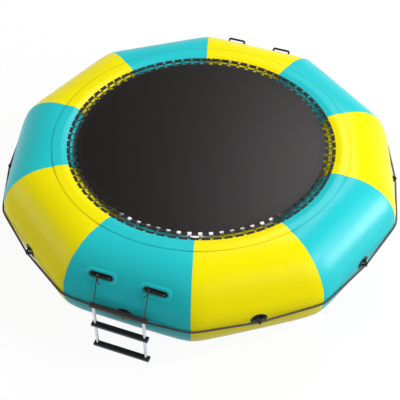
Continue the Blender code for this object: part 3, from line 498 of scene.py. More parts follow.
def sweepPatch(path, section, lift, closed=False):
    # A section carried along a path: its first number goes sideways and its second goes with lift.
    # Each cross-section stands square to the path. A closed path joins its last section to its first.
    heading = unit(np.roll(path, -1, 0) - np.roll(path, 1, 0) if closed else np.gradient(path, axis=0))
    side = unit(np.cross(heading, lift))
    up = np.cross(side, heading)
    section = np.broadcast_to(section, (len(path),) + np.shape(section)[-2:])
    points = path[:, None] + section[..., :1] * side[:, None] + section[..., 1:] * up[:, None]
    uv = gridUv(runLength(path, closed), np.linspace(0, 1, points.shape[1] + 1))
    return gridPatch(points, uv, closed)


def turnedBand(section, starts, ends, steps, wobble=None, fold=(-2, -2)):
    # A thin closed section of (distance from the middle, height) turned about Z from one angle to another,
    # or all the way round. The fold is where a section from bandSection starts, the middle of its tail.
    whole = ends - starts > 2 * math.pi - 1e-6
    turns = np.linspace(starts, ends, steps + 1)
    turn = (turns[:-1] if whole else turns)[:, None]
    out, height = section[:, 0] + 0 * turn, section[:, 1]
    if wobble:
        height = wobble(out, height, turn)
    points = beside(out * np.cos(turn), out * np.sin(turn), height)
    uv = gridUv(turns * section[:, 0].mean(), runLength(section, True))
    return gridPatch(points, uv, whole, fold)


def bandSection(line, thickness):
    # A closed section round a line of points, with half the thickness to each side and round ends.
    line = np.array(line, float)
    heading = unit(np.gradient(line, axis=0))
    side = beside(-heading[:, 1], heading[:, 0]) * thickness / 2
    turn = np.linspace(-math.pi / 2, math.pi / 2, 5)[1:-1, None]
    nose = line[-1] + heading[-1] * np.cos(turn) * thickness / 2 - side[-1] * np.sin(-turn)
    tail = line[0] - heading[0] * np.cos(turn) * thickness / 2 - side[0] * np.sin(turn)
    return join(line - side, nose, (line + side)[::-1], tail)


def smoothLine(points, passes, closed=False):
    # Corners cut at a quarter and three quarters of each run, again and again.
    for _ in range(passes):
        following = np.roll(points, -1, 0) if closed else points[1:]
        before = points if closed else points[:-1]
        cut = np.stack([before * 0.75 + following * 0.25, before * 0.25 + following * 0.75], 1)
        cut = cut.reshape(-1, points.shape[1])
        points = cut if closed else join(points[:1], cut, points[-1:])
    return points


def evenLine(points, count, closed=False):
    # The same line with its points an even distance apart.
    lengths = runLength(points, closed)
    line = join(points, points[:1]) if closed else points
    spots = np.linspace(0, lengths[-1], count, endpoint=not closed)
    return beside(*(np.interp(spots, lengths, numbers) for numbers in line.T))


def relaxed(line, times):
    # A closed line whose points are moved, again and again, toward the middle of their two neighbours.
    for _ in range(times):
        line = (np.roll(line, 1, 0) + line * 2 + np.roll(line, -1, 0)) / 4
    return line


def strapLine(left, arc, high, radius, steps, count):
    # A strap's middle line: along its left foot, round an arc about a point this high, and down its
    # right foot, which mirrors the left.
    turn = np.linspace(-math.radians(arc), math.radians(arc), steps)
    loop = beside(radius * np.sin(turn), high + radius * np.cos(turn))
    left = np.array(left)
    return evenLine(smoothLine(join(left, loop, left[::-1] * [-1, 1]), 2), count)


def strapPatch(path, across, look):
    # The strap's section swept along a path, flat in the direction across it.
    section = roundedBox(look["strapWidth"], look["strapThickness"], look["strapRound"])
    return sweepPatch(path, section, np.cross(across, np.gradient(path, axis=0)))


# Hanger ropes: each is tied round a front handle's bar and runs straight down to the ladder's bar

hanger = {
    "radius": 0.0040, "sides": {"left": -0.2250, "right": 0.1650}, "axisOut": 1.470233, "axisUp": -0.099882,
    "pull": (0.104767, -0.205118), "starts": 0.0133, "ends": 0.21732, "knotAt": 0.0203, "knotRise": 0.0040,
    "knotTurn": 0.0052, "tailStart": 0.004, "tail": 0.0480, "tailLean": 33, "tailOff": 0.0015,
    "heart": ((0.001, -0.0080), (0.0052, -0.0062), (0.0072, 0.0), (0.0052, 0.0062), (0.001, 0.0080)),
}


def makeHangerRopes():
    pull, radius, knotAt = unit(np.array(hanger["pull"])), hanger["radius"], hanger["knotAt"]
    for side, along in hanger["sides"].items():
        inward = 1 if side == "left" else -1

        def spot(down, sideways, off=0.0):
            # Down the pull from the handle's axis, sideways along the tube, and off the rope's plane.
            out = hanger["axisOut"] + down * pull[0] - off * pull[1]
            return fromSegment(0, out, along + sideways, hanger["axisUp"] + down * pull[1] + off * pull[0])

        path = spot(np.linspace(hanger["starts"], hanger["ends"], 24), 0.0)
        section = circleSection(radius, 16)
        rope = makePiece("hangerRope_" + side, [sweepPatch(path, section, (0, 0, 1))], hangerBraid,
                         "hanger_rope_" + side, "ladder")
        turn = roundTurns(48)
        loop = spot(hanger["starts"] * np.cos(turn), 0.0, hanger["starts"] * np.sin(turn))
        # The knot is a turn and a half of the rope round itself, on a line that climbs as it goes round.
        wind = np.linspace(0, 3 * math.pi, 40)
        climb = knotAt + hanger["knotRise"] * np.sin(wind * 2 / 3)
        knotLine = spot(climb, hanger["knotTurn"] * np.cos(wind), hanger["knotTurn"] * np.sin(wind))
        lean = math.radians(hanger["tailLean"])
        run = np.linspace(hanger["tailStart"], hanger["tail"], 8)
        tailLine = spot(knotAt + run * math.cos(lean), inward * run * math.sin(lean), hanger["tailOff"])
        patches = [
            sweepPatch(loop, section, fromSegment(0, 0.0, 1.0, 0.0), True),
            sweepPatch(knotLine, circleSection(radius * 0.92, 14), spot(1.0, 0.0) - spot(0.0, 0.0)),
            discPatch(lambda x, y, h: spot(knotAt + h, x, y), hanger["heart"], 16),
            sweepPatch(tailLine, circleSection(radius * 0.95, 12), (0, 0, 1)),
        ]
        knot = makePiece("hangerKnot_" + side, patches, hangerBraid, None, "ladder")


makeHangerRopes()
print("hanger ropes made")


# Tube segments

tube = {
    "alongSteps": 64, "aroundSteps": 128, "cornerCut": 0.011, "cornerRun": 0.130, "bow": 0.009,
    "bowFades": (-47, -36, 13, 29), "straight": 6, "pinch": 0.0005, "pinchRun": 0.008, "pucker": 0.0007,
    "puckerRun": 0.060, "lapAngle": math.radians(-118), "lapHalf": 0.016, "lapHeight": 0.0008,
    "seamMark": 0.05, "seamFade": 0.0025,
}


def cornerDraw(offSeam):
    # How far the outer wall is drawn in, by its distance from a seam: a square law over the last stretch.
    return tube["cornerCut"] * np.clip(1 - offSeam / tube["cornerRun"], 0, None) ** 2


def outerBow(index, run, angle):
    # How far the outer wall swells between its seams: most halfway along and near the tube's middle height.
    # The segment with the valve is straight.
    if index == tube["straight"]:
        return 0 * run * angle
    low, lowFull, highFull, high = (math.radians(a) for a in tube["bowFades"])
    turn = (angle + math.pi) % (2 * math.pi) - math.pi
    up = np.clip((turn - low) / (lowFull - low), 0, 1)
    down = np.clip((high - turn) / (high - highFull), 0, 1)
    share = up * up * (3 - 2 * up) * down * down * (3 - 2 * down)
    return tube["bow"] * share * (1 - np.abs(run) ** 2.5)


def makeTube(index):
    # Round the tube by angle, along it between the two mitre planes. The ring's outer corners are rounded
    # off towards each seam. The skin draws in at the seam, puckers there most on the ring's inner side,
    # and carries a lap weld along its underside.
    around, radius = tube["aroundSteps"], ring["tubeRadius"]
    angle = roundTurns(around)
    run = np.linspace(-1, 1, tube["alongSteps"] + 1)[:, None]
    run = np.sign(run) * (1 - (1 - np.abs(run)) ** 1.6)
    inner = (1 - np.cos(angle)) / 2
    offSeam = (1 - np.abs(run)) * (ring["middle"] + radius * np.cos(angle)) * math.tan(halfTurn)
    phase = index * 1.7 + np.sign(run) * 0.9
    wrinkle = np.cos(angle * 23 + phase) * 0.6 + np.cos(angle * 37 + 2.1 * phase) * 0.4
    reach = radius - tube["pinch"] * np.exp(-offSeam / tube["pinchRun"])
    reach = reach + tube["pucker"] * (0.25 + 0.75 * inner) * wrinkle * np.exp(-offSeam / tube["puckerRun"])
    lap = np.abs((angle - tube["lapAngle"] + math.pi) % (2 * math.pi) - math.pi) * radius
    reach = reach + tube["lapHeight"] * np.clip((tube["lapHalf"] + 0.002 - lap) / 0.004, 0, 1)
    out = ring["middle"] + reach * np.cos(angle) - cornerDraw(offSeam) * (1 - inner)
    out = out + outerBow(index, run, angle)
    along = run * (out * math.tan(halfTurn) - ring["seamGap"] / 2)
    points = fromSegment(index, out, along, reach * np.sin(angle) - ring["matAboveTube"])
    places = np.arange(around + 1) * 2 * math.pi / around * radius
    uv = gridUv(run[:, 0] * ring["middle"] * math.tan(halfTurn), places)[..., ::-1]

    def weldMarks(corners):
        # Faint along the seams, fading with the distance from the nearer mitre plane.
        outward, sideways = (corners @ fromSegment(index, *way, 0.0) for way in ((1.0, 0.0), (0.0, 1.0)))
        seam = outward * math.sin(halfTurn) - np.abs(sideways) * math.cos(halfTurn)
        return np.exp(-np.clip(seam, 0, None) / tube["seamFade"]) * tube["seamMark"]

    name = numbered(index)
    makePiece("tube_" + name, [gridPatch(points, uv)], fabrics[index % 2], "tube_segment_" + name,
              weld=weldMarks)


for number in range(ring["segments"]):
    makeTube(number)
print("tube segments made")


# Skirt: the flap over the webbing, welded to the tube at its outer edge

skirt = {
    "lip": 1.0500, "lipHeight": 0.0006, "crest": 1.0965, "flat": 0.0158, "outer": 1.1710, "soft": 0.0022,
    "thickness": 0.0012, "ripple": 0.0007, "rippleRun": 0.018, "steps": 96, "weldShadeFade": 0.005,
    "endMark": 0.15, "endFade": 0.003,
}


def makeSkirt(index):
    # From the lip up the slope to the crest, then level: the lower of the two lines, rounded where they
    # meet. The lip ripples between the webbing's tabs.
    lip, outer, flat, soft = (skirt[key] for key in ("lip", "outer", "flat", "soft"))
    out = np.linspace(lip, outer, 40)
    slope = skirt["lipHeight"] + (out - lip) * (flat - skirt["lipHeight"]) / (skirt["crest"] - lip)
    height = flat - soft * np.log1p(np.exp(-(slope - flat) / soft))

    def wobble(out, height, turn):
        near = np.exp(-(out - lip) / skirt["rippleRun"])
        return height + near * skirt["ripple"] * (np.cos(turn * tabs["count"]) - 1) * 0.5

    def weldMarks(corners):
        # 1 at the outer weld, where the darker tone is a painted shade line of the skirt's edge step, and
        # faint at the two ends where the panels meet.
        radius = np.hypot(corners[:, 0], corners[:, 1])
        turn = (np.arctan2(corners[:, 1], corners[:, 0]) - middle + math.pi) % (2 * math.pi) - math.pi
        weld = np.exp(-np.clip(outer - radius, 0, None) / skirt["weldShadeFade"])
        end = np.exp(-(halfTurn - np.abs(turn)) * radius / skirt["endFade"])
        return np.maximum(weld, end * skirt["endMark"])

    middle = ring["firstTurn"] + index * segmentTurn
    reach = halfTurn - ring["seamGap"] / 2 / lip
    section = bandSection(beside(out, height), skirt["thickness"])
    patch = turnedBand(section, middle - reach, middle + reach, skirt["steps"], wobble)
    name = numbered(index)
    panel = makePiece("skirt_" + name, [patch], fabrics[index % 2], "skirt_panel_" + name, weld=weldMarks)


# Webbing on the ring and on the mat, each a strip round with a tab for each pitch of the lacing

tabs = {
    "count": 80, "thickness": 0.0015,
    "ring": {
        "share": 0.69, "strip": ((1.0508, -0.0008), (1.0660, 0.0042), (1.0812, 0.0091), (1.0957, 0.0138)),
        "tab": ((1.0560, 0.0011), (1.0350, 0.0008), (1.0269, 0.0006), (1.0267, -0.0085)),
    },
    "mat": {
        "share": 0.62, "strip": ((0.9305, -0.0031), (0.9500, -0.0031), (0.9695, -0.0031)),
        "tab": ((0.9640, -0.0031), (0.9880, -0.0031), (0.9982, -0.0031), (0.9983, -0.0103)),
    },
}
tabPitch = 2 * math.pi / tabs["count"]


def makeWebbing():
    for side in ("ring", "mat"):
        half = tabPitch * tabs[side]["share"] / 2
        section = bandSection(smoothLine(np.array(tabs[side]["tab"]), 2), tabs["thickness"])
        strip = turnedBand(bandSection(tabs[side]["strip"], tabs["thickness"]), 0.0, 2 * math.pi, 320)
        starts = np.arange(tabs["count"]) * tabPitch - half
        patches = [strip] + [turnedBand(section, start, start + 2 * half, 6) for start in starts]
        makePiece(side + "Webbing", patches, webbing, side + "_webbing")


for number in range(ring["segments"]):
    makeSkirt(number)
print("skirt made")
makeWebbing()
print("webbing made")


# Jump mat: a round middle that moves with the bed, and twenty sectors from it to the rim

mat = {
    "sectors": 20, "radius": 0.9700, "middle": 0.3000, "thickness": 0.0020, "fullMove": 0.45,
    "hemInner": 0.9280, "hemRun": 0.020, "hemRise": 0.0003,
}


def makeMat():
    # Each sector is a closed section turned through a twentieth of a turn. The cloth is 2 mm thick at the
    # hem over the webbing, and a little less inside it.
    rim, inner, hem, bottom = mat["radius"], mat["middle"], mat["hemInner"], -mat["thickness"]
    out = join(np.linspace(inner, hem, 36), np.linspace(hem + 0.001, rim, 10))
    rise = np.clip((out - hem) / mat["hemRun"], 0, 1) * mat["hemRise"] - mat["hemRise"]
    section = join(beside(out, rise), beside(out[::-1], bottom))
    half = math.pi / mat["sectors"]
    for index in range(mat["sectors"]):
        middle = ring["firstTurn"] + index * 2 * half
        patch = turnedBand(section, middle - half, middle + half, 14, fold=(0, -1))
        stands = None if index else "mat_border"
        sector = makePiece("matSector_" + numbered(index), [patch], matCloth, stands, None)
        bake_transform(sector)
    profile = [(radius, -mat["hemRise"]) for radius in (0.01, 0.10, 0.20, inner)]
    profile += [(inner, bottom), (0.01, bottom)]
    disc = makePiece("matMiddle", [discPatch(beside, profile, 240)], matCloth, "jump_bed", "bed")


makeMat()
print("mat made")


# Lacing: two cords that zigzag between the tabs, one over the other where they cross

lace = {
    "radius": 0.0030, "ringRun": 1.0308, "matRun": 0.9942, "ringHeight": -0.0039, "matHeight": -0.0071,
    "bend": 0.0040, "climb": 0.0066, "coarseRings": 2400, "rings": 3200,
}


def makeLacing():
    # Each cord runs under a tab of the ring, then under the next one of the mat, and so on round.
    number = np.arange(tabs["count"])
    for letter in "AB":
        onRing = (number % 2 == 0) == (letter == "A")
        radius = np.where(onRing, lace["ringRun"], lace["matRun"])
        height = np.where(onRing, lace["ringHeight"], lace["matHeight"])
        share = np.where(onRing, tabs["ring"]["share"], tabs["mat"]["share"])
        reach = tabPitch * share / 2 + lace["bend"] / radius
        rows = [(radius, number * tabPitch + off, height) for off in (-reach, 0, reach)]
        if letter == "A":
            over = (lace["ringHeight"] + lace["matHeight"]) / 2 + lace["climb"]
            rows.append(((lace["ringRun"] + lace["matRun"]) / 2, (number + 0.5) * tabPitch, over))
        line = np.stack([beside(r * np.cos(t), r * np.sin(t), z) for r, t, z in rows], 1).reshape(-1, 3)
        line = smoothLine(evenLine(line, lace["coarseRings"], True), 1, True)
        path = relaxed(evenLine(line, lace["rings"], True), 3)
        cord = sweepPatch(path, circleSection(lace["radius"], 10), (0, 0, 1), True)
        makePiece("lace" + letter, [cord], laceBraid, "lacing_cord_" + letter.lower())


makeLacing()
print("lacing made")


# Perimeter rope: three strands laid together, taut from each holder to the ring's rounded corners

rope = {
    "radius": 0.0080, "line": 1.563, "holderHalf": 0.020, "strands": 3, "lay": 0.054, "core": 0.82,
    "rings": 3000, "sides": 24,
}


def makeRope():
    # In each half segment the rope leaves its holder straight, and past the point where that line touches
    # the rounded corner it lies on the wall. Its strands stand out, and turn along it.
    reach = (wallFace + rope["radius"]) * math.tan(halfTurn)
    along = np.linspace(rope["holderHalf"], reach, 120)
    wall = wallFace + outerBow(0, along / reach, 0.0) - cornerDraw(reach - along)
    lying = wall + rope["radius"] + ring["gap"]
    slopes = (lying[1:] - rope["line"]) / (along[1:] - rope["holderHalf"])
    touch = int(np.argmax(slopes))
    straight = rope["line"] + slopes[touch] * (along - rope["holderHalf"])
    out = np.where(np.arange(len(along)) <= touch, straight, lying)
    half = beside(out, along)[:-1]
    whole = join(half[::-1] * [1, -1], half).T
    parts = [fromSegment(index, *whole, -ring["matAboveTube"]) for index in range(ring["segments"])]
    path = relaxed(evenLine(join(*parts), rope["rings"], True), 20)
    turns = round(runLength(path, True)[-1] / rope["lay"])
    twist = turns * roundTurns(rope["rings"])[:, None]
    turn = roundTurns(rope["sides"])
    lobe = np.abs(np.cos((turn - twist) * rope["strands"] / 2))
    girth = rope["radius"] * (rope["core"] + (1 - rope["core"]) * lobe ** 0.8)
    section = beside(girth * np.cos(turn), girth * np.sin(turn))
    patch = sweepPatch(path, section, (0, 0, 1), True)
    makePiece("outerRope", [patch], ropeYarn, "perimeter_rope", sharp=60)


makeRope()
print("outer rope made")


# Rope holders: an oval rubber patch with a strap that stands out round the rope

holder = {
    "length": 0.125, "height": 0.096, "power": 2.2, "thickness": 0.0030,
    "pad": ((0.03, 1), (0.55, 1), (0.80, 1), (0.86, 1.35), (0.92, 1.35), (0.965, 0.9), (0.99, 0.45),
            (1.0, 0.1), (0.98, 0), (0.03, 0)),
    "strapWidth": 0.030, "strapThickness": 0.0025, "strapRound": 0.0009, "spread": 0.028, "flange": 0.014,
    "standoff": 0.038, "nose": 0.0096, "noseArc": 115,
}


def makeHolder(index):
    wall = float(outerBow(index, 0.0, 0.0))
    skin = placer(onSkin, index, 0.0, above=wall)
    profile = padProfile(holder["pad"], holder["thickness"])
    pad = discPatch(skin, profile, 64, holder["length"] / 2, holder["height"] / 2, holder["power"])
    base = wall + ring["gap"] + holder["thickness"] + holder["strapThickness"] / 2
    foot, flange = holder["spread"], holder["flange"]
    left = [(-foot - flange, base), (-foot - flange * 0.3, base), (-foot * 0.92, base + 0.0012),
            (-foot * 0.75, base + 0.006)]
    line = strapLine(left, holder["noseArc"], holder["standoff"], holder["nose"], 22, 64)
    path = onFacet(index, 0.0, line[:, 0], 0.0, line[:, 1])
    name = numbered(index)
    makePiece("ropeHolder_" + name, [pad, strapPatch(path, (0, 0, 1.0), holder)], holderRubber,
              "rope_holder_" + name)


for number in range(ring["segments"]):
    makeHolder(number)
print("rope holders made")


# Grab handles: each is a thin bar on an oblong rubber base, on a welded patch of the tube's fabric

handle = {
    "facet": math.radians(36), "apart": 0.414, "slope": 0.020, "length": 0.157, "radius": 0.0090,
    "height": 0.0330, "bend": 0.0110, "flare": 0.45, "flareRun": 0.0035, "wave": 0.03, "wavePitch": 0.022,
    "waveHalf": 0.055, "baseLength": 0.185, "baseWidth": 0.042, "baseThickness": 0.0030,
    "patchLength": 0.242, "patchWidth": 0.092, "patchThickness": 0.0010, "core": 0.0004,
    # where the patch's painted highlight rim lies, how wide it is and how strong
    "rimAt": 0.0040, "rimHalf": 0.0070, "rimHighlight": 0.9,
    "places": {"front_left": (0, -1), "front_right": (0, 1), "back_left": (5, -1), "back_right": (5, 1)},
}


def oblongPatch(put, profile, length, width, steps):
    # Rings that follow an outline with a half circle at each end. The profile gives each ring's
    # distance in from the edge and its height, and the innermost ring is nearly a line.
    profile = np.array(profile, float)
    turn = np.linspace(-math.pi / 2, math.pi / 2, steps)
    straight = np.linspace(-1, 1, steps)[1:-1]
    middle = (length - width) / 2
    radius = width / 2 - profile[:, :1]
    side = join((middle + radius * np.cos(turn)).T, (-middle * straight + 0 * radius).T).T
    up = join((radius * np.sin(turn)).T, (radius + 0 * straight).T).T
    x, y = np.hstack([side, -side]), np.hstack([up, -up])
    edge = np.linspace(0, 2 * (length - width) + math.pi * width, x.shape[1] + 1)
    return gridPatch(put(x, y, profile[:, 1:]), gridUv(runLength(profile), edge)[..., ::-1])


def makeHandle(name, index, side):
    skin, stiff = (placer(surface, index, handle["facet"], side * handle["apart"] / 2, handle["slope"])
                   for surface in (onSkin, onFacet))
    length, width = handle["patchLength"], handle["patchWidth"]
    core = width / 2 - handle["core"]
    weldEdge = padProfile((
        (core, 1), (0.034, 1), (0.024, 1), (0.014, 1), (0.0050, 1), (0.0042, 0.6), (0.0018, 0.6),
        (0.0010, 0.9), (0.0002, 0.5), (0.0, 0), (0.014, 0), (0.030, 0), (core, 0),
    ), handle["patchThickness"])

    def weldMarks(corners):
        # A painted highlight: a paler rim inside the patch's edge, by each point's distance from the
        # patch's middle line.
        off, heading = corners - skin(0.0, 0.0, 0.0), fromSegment(index, 0.0, 1.0, 0.0)
        along = off @ heading
        rest = np.linalg.norm(off - along[:, None] * heading, axis=1)
        past = np.clip(np.abs(along) - (length - width) / 2, 0, None)
        inward = width / 2 - np.hypot(past, rest)
        return np.clip(1 - np.abs(inward - handle["rimAt"]) / handle["rimHalf"], 0, 1) * handle["rimHighlight"]

    patch = oblongPatch(skin, weldEdge, length, width, 24)
    makePiece("handlePatch_" + name, [patch], patchFabrics[index % 2], "handle_patch_" + name,
              weld=weldMarks)

    leg, bend = handle["length"] / 2 - handle["radius"], handle["bend"]
    base = 2 * ring["gap"] + handle["patchThickness"]
    top = base + handle["baseThickness"]
    inner = handle["baseWidth"] / 2 - handle["core"]
    plate = [
        (inner, top), (0.0110, top), (0.0062, top), (0.0052, top - 0.0006), (0.0044, top - 0.0006),
        (0.0034, top), (0.0022, top - 0.0001), (0.0008, top - 0.0008), (0.0001, top - 0.0020), (0.0, base),
        (0.0110, base), (inner, base),
    ]
    turn = np.linspace(0, math.pi / 2, 10)
    corner = beside(leg - bend + bend * np.cos(turn), handle["height"] - bend + bend * np.sin(turn))
    half = join([(leg, top - 0.002), (leg, top + 0.003)], corner)
    line = evenLine(join(half, half[::-1] * [-1, 1]), 80)
    fromEnd = np.minimum(np.arange(80), np.arange(80)[::-1]) / 79 * runLength(line)[-1]
    # The bar flares where it runs into its base, and has five shallow finger waves along its middle.
    fade = np.clip((handle["waveHalf"] - np.abs(line[:, 0])) / 0.006, 0, 1)
    waves = handle["wave"] * np.cos(line[:, 0] * 2 * math.pi / handle["wavePitch"]) * fade
    girth = handle["radius"] * (1 + handle["flare"] * np.exp(-fromEnd / handle["flareRun"]) + waves)
    lift = fromSegment(index, -math.sin(handle["facet"]), 0.0, math.cos(handle["facet"]))
    section = circleSection(1.0, 28) * girth[:, None, None]
    bar = sweepPatch(stiff(line[:, 0], 0.0, line[:, 1]), section, lift)
    foot = oblongPatch(stiff, plate, handle["baseLength"], handle["baseWidth"], 20)
    makePiece("grabHandle_" + name, [bar, foot], gripRubber, "grab_handle_" + name)


for name, (index, side) in handle["places"].items():
    makeHandle(name, index, side)
print("grab handles made")


# Ladder: a sleeved top bar, two rails and two grooved steps

ladder = {
    "plane": 1.57497, "middle": -0.0300, "barUp": -0.305, "barRadius": 0.0200, "barHalf": 0.2215,
    "barRound": 0.004, "rails": {"left": -0.2230, "right": 0.1630}, "railRadius": 0.0120,
    "railTop": -0.3090, "railFoot": -0.7580, "stepTops": (-0.505, -0.740), "stepHalf": 0.220,
    "stepDepth": 0.0450, "stepThickness": 0.0280, "stepRound": 0.0070, "grooves": 5, "grooveHalf": 0.0015,
    "grooveDepth": 0.0015, "grooveLip": 0.0006, "bevel": 0.06, "bevelFrom": 0.992,
}


def makeLadder():
    # The bar is a turned form along the tube, with rounded rims and a shallow plug in each end.
    r, half, rim = ladder["barRadius"], ladder["barHalf"], ladder["barRound"]
    turns = np.linspace(0, math.pi / 2, 6)
    end = [(r - rim + rim * math.cos(t), half - rim + rim * math.sin(t)) for t in turns]
    end += [(r - 0.006, half), (r - 0.0065, half - 0.0015), (0.003, half - 0.0015)]
    body = [(r, h) for h in np.linspace(-half + 0.02, half - 0.02, 40)]
    profile = [(a, -b) for a, b in reversed(end)] + body + end

    def alongBar(x, y, h):
        return fromSegment(0, ladder["plane"] + x, ladder["middle"] + h, ladder["barUp"] + y)

    makePiece("ladderBar", [discPatch(alongBar, profile, 48)], barSleeve, "ladder_top_bar", "ladder")

    for side, along in ladder["rails"].items():
        def upRail(x, y, h, along=along):
            return fromSegment(0, ladder["plane"] + x, along + y, h)

        r, low, high = ladder["railRadius"], ladder["railFoot"], ladder["railTop"]
        profile = [(r - 0.0020, low + 0.010), (r - 0.0018, low + 0.0008), (r - 0.0012, low)]
        profile += [(r - 0.0006, low), (r, low + 0.0008)]
        profile += [(r, h) for h in np.linspace(low + 0.01, high, 24)]
        makePiece("ladderRail_" + side, [discPatch(upRail, profile, 40)], railSteel, "ladder_rail_" + side,
                  "ladder")

    # A step's section has grooves along its top and round edges. A small bevel draws its ends in.
    thick, rounding, half = ladder["stepThickness"], ladder["stepRound"], ladder["stepHalf"]
    corner = ladder["stepDepth"] / 2 - rounding
    turn = np.linspace(math.pi / 2, -math.pi / 2, 15)
    level = np.where(turn >= 0, -rounding, rounding - thick)
    right = beside(corner + rounding * np.cos(turn), level + rounding * np.sin(turn))
    w, d, lip = ladder["grooveHalf"], ladder["grooveDepth"], ladder["grooveLip"]
    groove = [(-w - lip, 0), (-w, -d * 0.5), (-w * 0.6, -d), (w * 0.6, -d), (w, -d * 0.5), (w + lip, 0)]
    middles = (np.arange(ladder["grooves"]) + 0.5) * 2 * corner / ladder["grooves"] - corner
    top = [(middle + x, z) for middle in middles for x, z in groove]
    section = join(top, right, right[::-1] * [-1, 1])
    ends = np.array([ladder["bevelFrom"], 0.9965, 1])
    runs = join(-ends[::-1], np.linspace(-0.97, 0.97, 30), ends)
    drawn = np.clip((np.abs(runs) - ladder["bevelFrom"]) / (1 - ladder["bevelFrom"]), 0, 1) ** 2
    centre = np.array([0, -thick / 2])
    shaped = (section - centre) * (1 - ladder["bevel"] * drawn)[:, None, None] + centre
    uv = gridUv(runs * half, runLength(section, True))
    for number, height in enumerate(ladder["stepTops"]):
        along = ladder["middle"] + runs[:, None] * half
        points = fromSegment(0, ladder["plane"] + shaped[..., 0], along, height + shaped[..., 1])
        makePiece(f"ladderStep_{number + 1}", [gridPatch(points, uv)], stepPlastic,
                  f"ladder_step_{number + 1}", "ladder")


makeLadder()
print("ladder made")


# Valve: a base with its neck, and a cap with a ribbed rim that hangs from a folding strap. Each profile
# is of (radius, height over the tube's skin).

valve = {
    "segment": 6, "facet": math.radians(18), "along": -0.240,
    "base": ((0.0168, -0.0236), (0.0200, -0.0236), (0.0200, 0.0003), (0.0318, 0.0003), (0.0320, 0.0010),
             (0.0318, 0.0028), (0.0308, 0.0033), (0.0232, 0.0033), (0.0222, 0.0040), (0.0220, 0.0108),
             (0.0216, 0.0113), (0.0168, 0.0113)),
    "cap": ((0.0005, 0.0158), (0.0100, 0.0158), (0.0150, 0.0160), (0.0225, 0.0161), (0.0243, 0.0155),
            (0.0250, 0.0140), (0.0250, 0.0045), (0.0246, 0.0036), (0.0230, 0.0036), (0.0228, 0.0050),
            (0.0228, 0.0139), (0.0005, 0.0139)),
    "capSides": 180, "ribs": 36, "ribDepth": 0.0005, "ribFrom": (0.0245, 0.0040), "capRadius": 0.025,
    "strapStart": 0.0240, "hinge": 0.0308, "strapHeight": 0.0048, "strap": (0.012, 0.0022, 0.0010),
    "fold": ((0.0002, -0.006), (0.0010, -0.006), (0.0012, -0.0056), (0.0012, 0.0056), (0.0010, 0.006),
             (0.0002, 0.006)),
}


def makeValve():
    put = placer(onFacet, valve["segment"], valve["facet"], valve["along"])
    makePiece("valveBase", [discPatch(put, valve["base"], 64)], holderRubber, "valve_base")

    # The cap's rim has ribs: a cosine round it draws it in by their depth.
    sides, hinge, high = valve["capSides"], valve["hinge"], valve["strapHeight"]
    turn = roundTurns(sides)
    profile = np.array(valve["cap"])
    onRim = (profile > valve["ribFrom"]).all(1)[:, None]
    reach = profile[:, :1] - onRim * valve["ribDepth"] * (0.5 + 0.5 * np.cos(turn * valve["ribs"]))
    points = put(reach * np.cos(turn), reach * np.sin(turn), profile[:, 1:])
    places = np.arange(sides + 1) * valve["capRadius"] * 2 * math.pi / sides
    cap = gridPatch(points, gridUv(runLength(profile), places)[..., ::-1])
    line = put(np.linspace(-valve["strapStart"], -hinge, 10), 0.0, high)
    strap = sweepPatch(line, roundedBox(*valve["strap"]), put(0.0, 0.0, 1.0) - put(0.0, 0.0, 0.0))
    fold = discPatch(lambda x, y, h: put(x - hinge, h, high + y), valve["fold"], 20)
    makePiece("valveCap", [cap, strap, fold], holderRubber, "valve_cap", "cap")
    for node, finish in (("valve_insert", stepPlastic), ("valve_flap", gripRubber)):
        for place in cadNodes[node].material_slots:
            place.material = finish[0]


makeValve()
print("valve made")


# Anchor rings on round patches under the tube

anchor = {
    "segments": (3, 8), "facet": math.radians(-54), "patchRadius": 0.0450, "thickness": 0.0030,
    "pad": ((0.03, 1), (0.78, 1), (0.84, 1.3), (0.91, 1.3), (0.97, 0.7), (1.0, 0.15), (0.98, 0), (0.03, 0)),
    "strapWidth": 0.0300, "strapThickness": 0.0020, "strapRound": 0.0008, "foot": 0.0150, "flange": 0.008,
    "barHeight": 0.0096, "archRadius": 0.0055, "archArc": 80, "wire": 0.0040, "half": 0.0250,
    "drop": 0.0460,
}


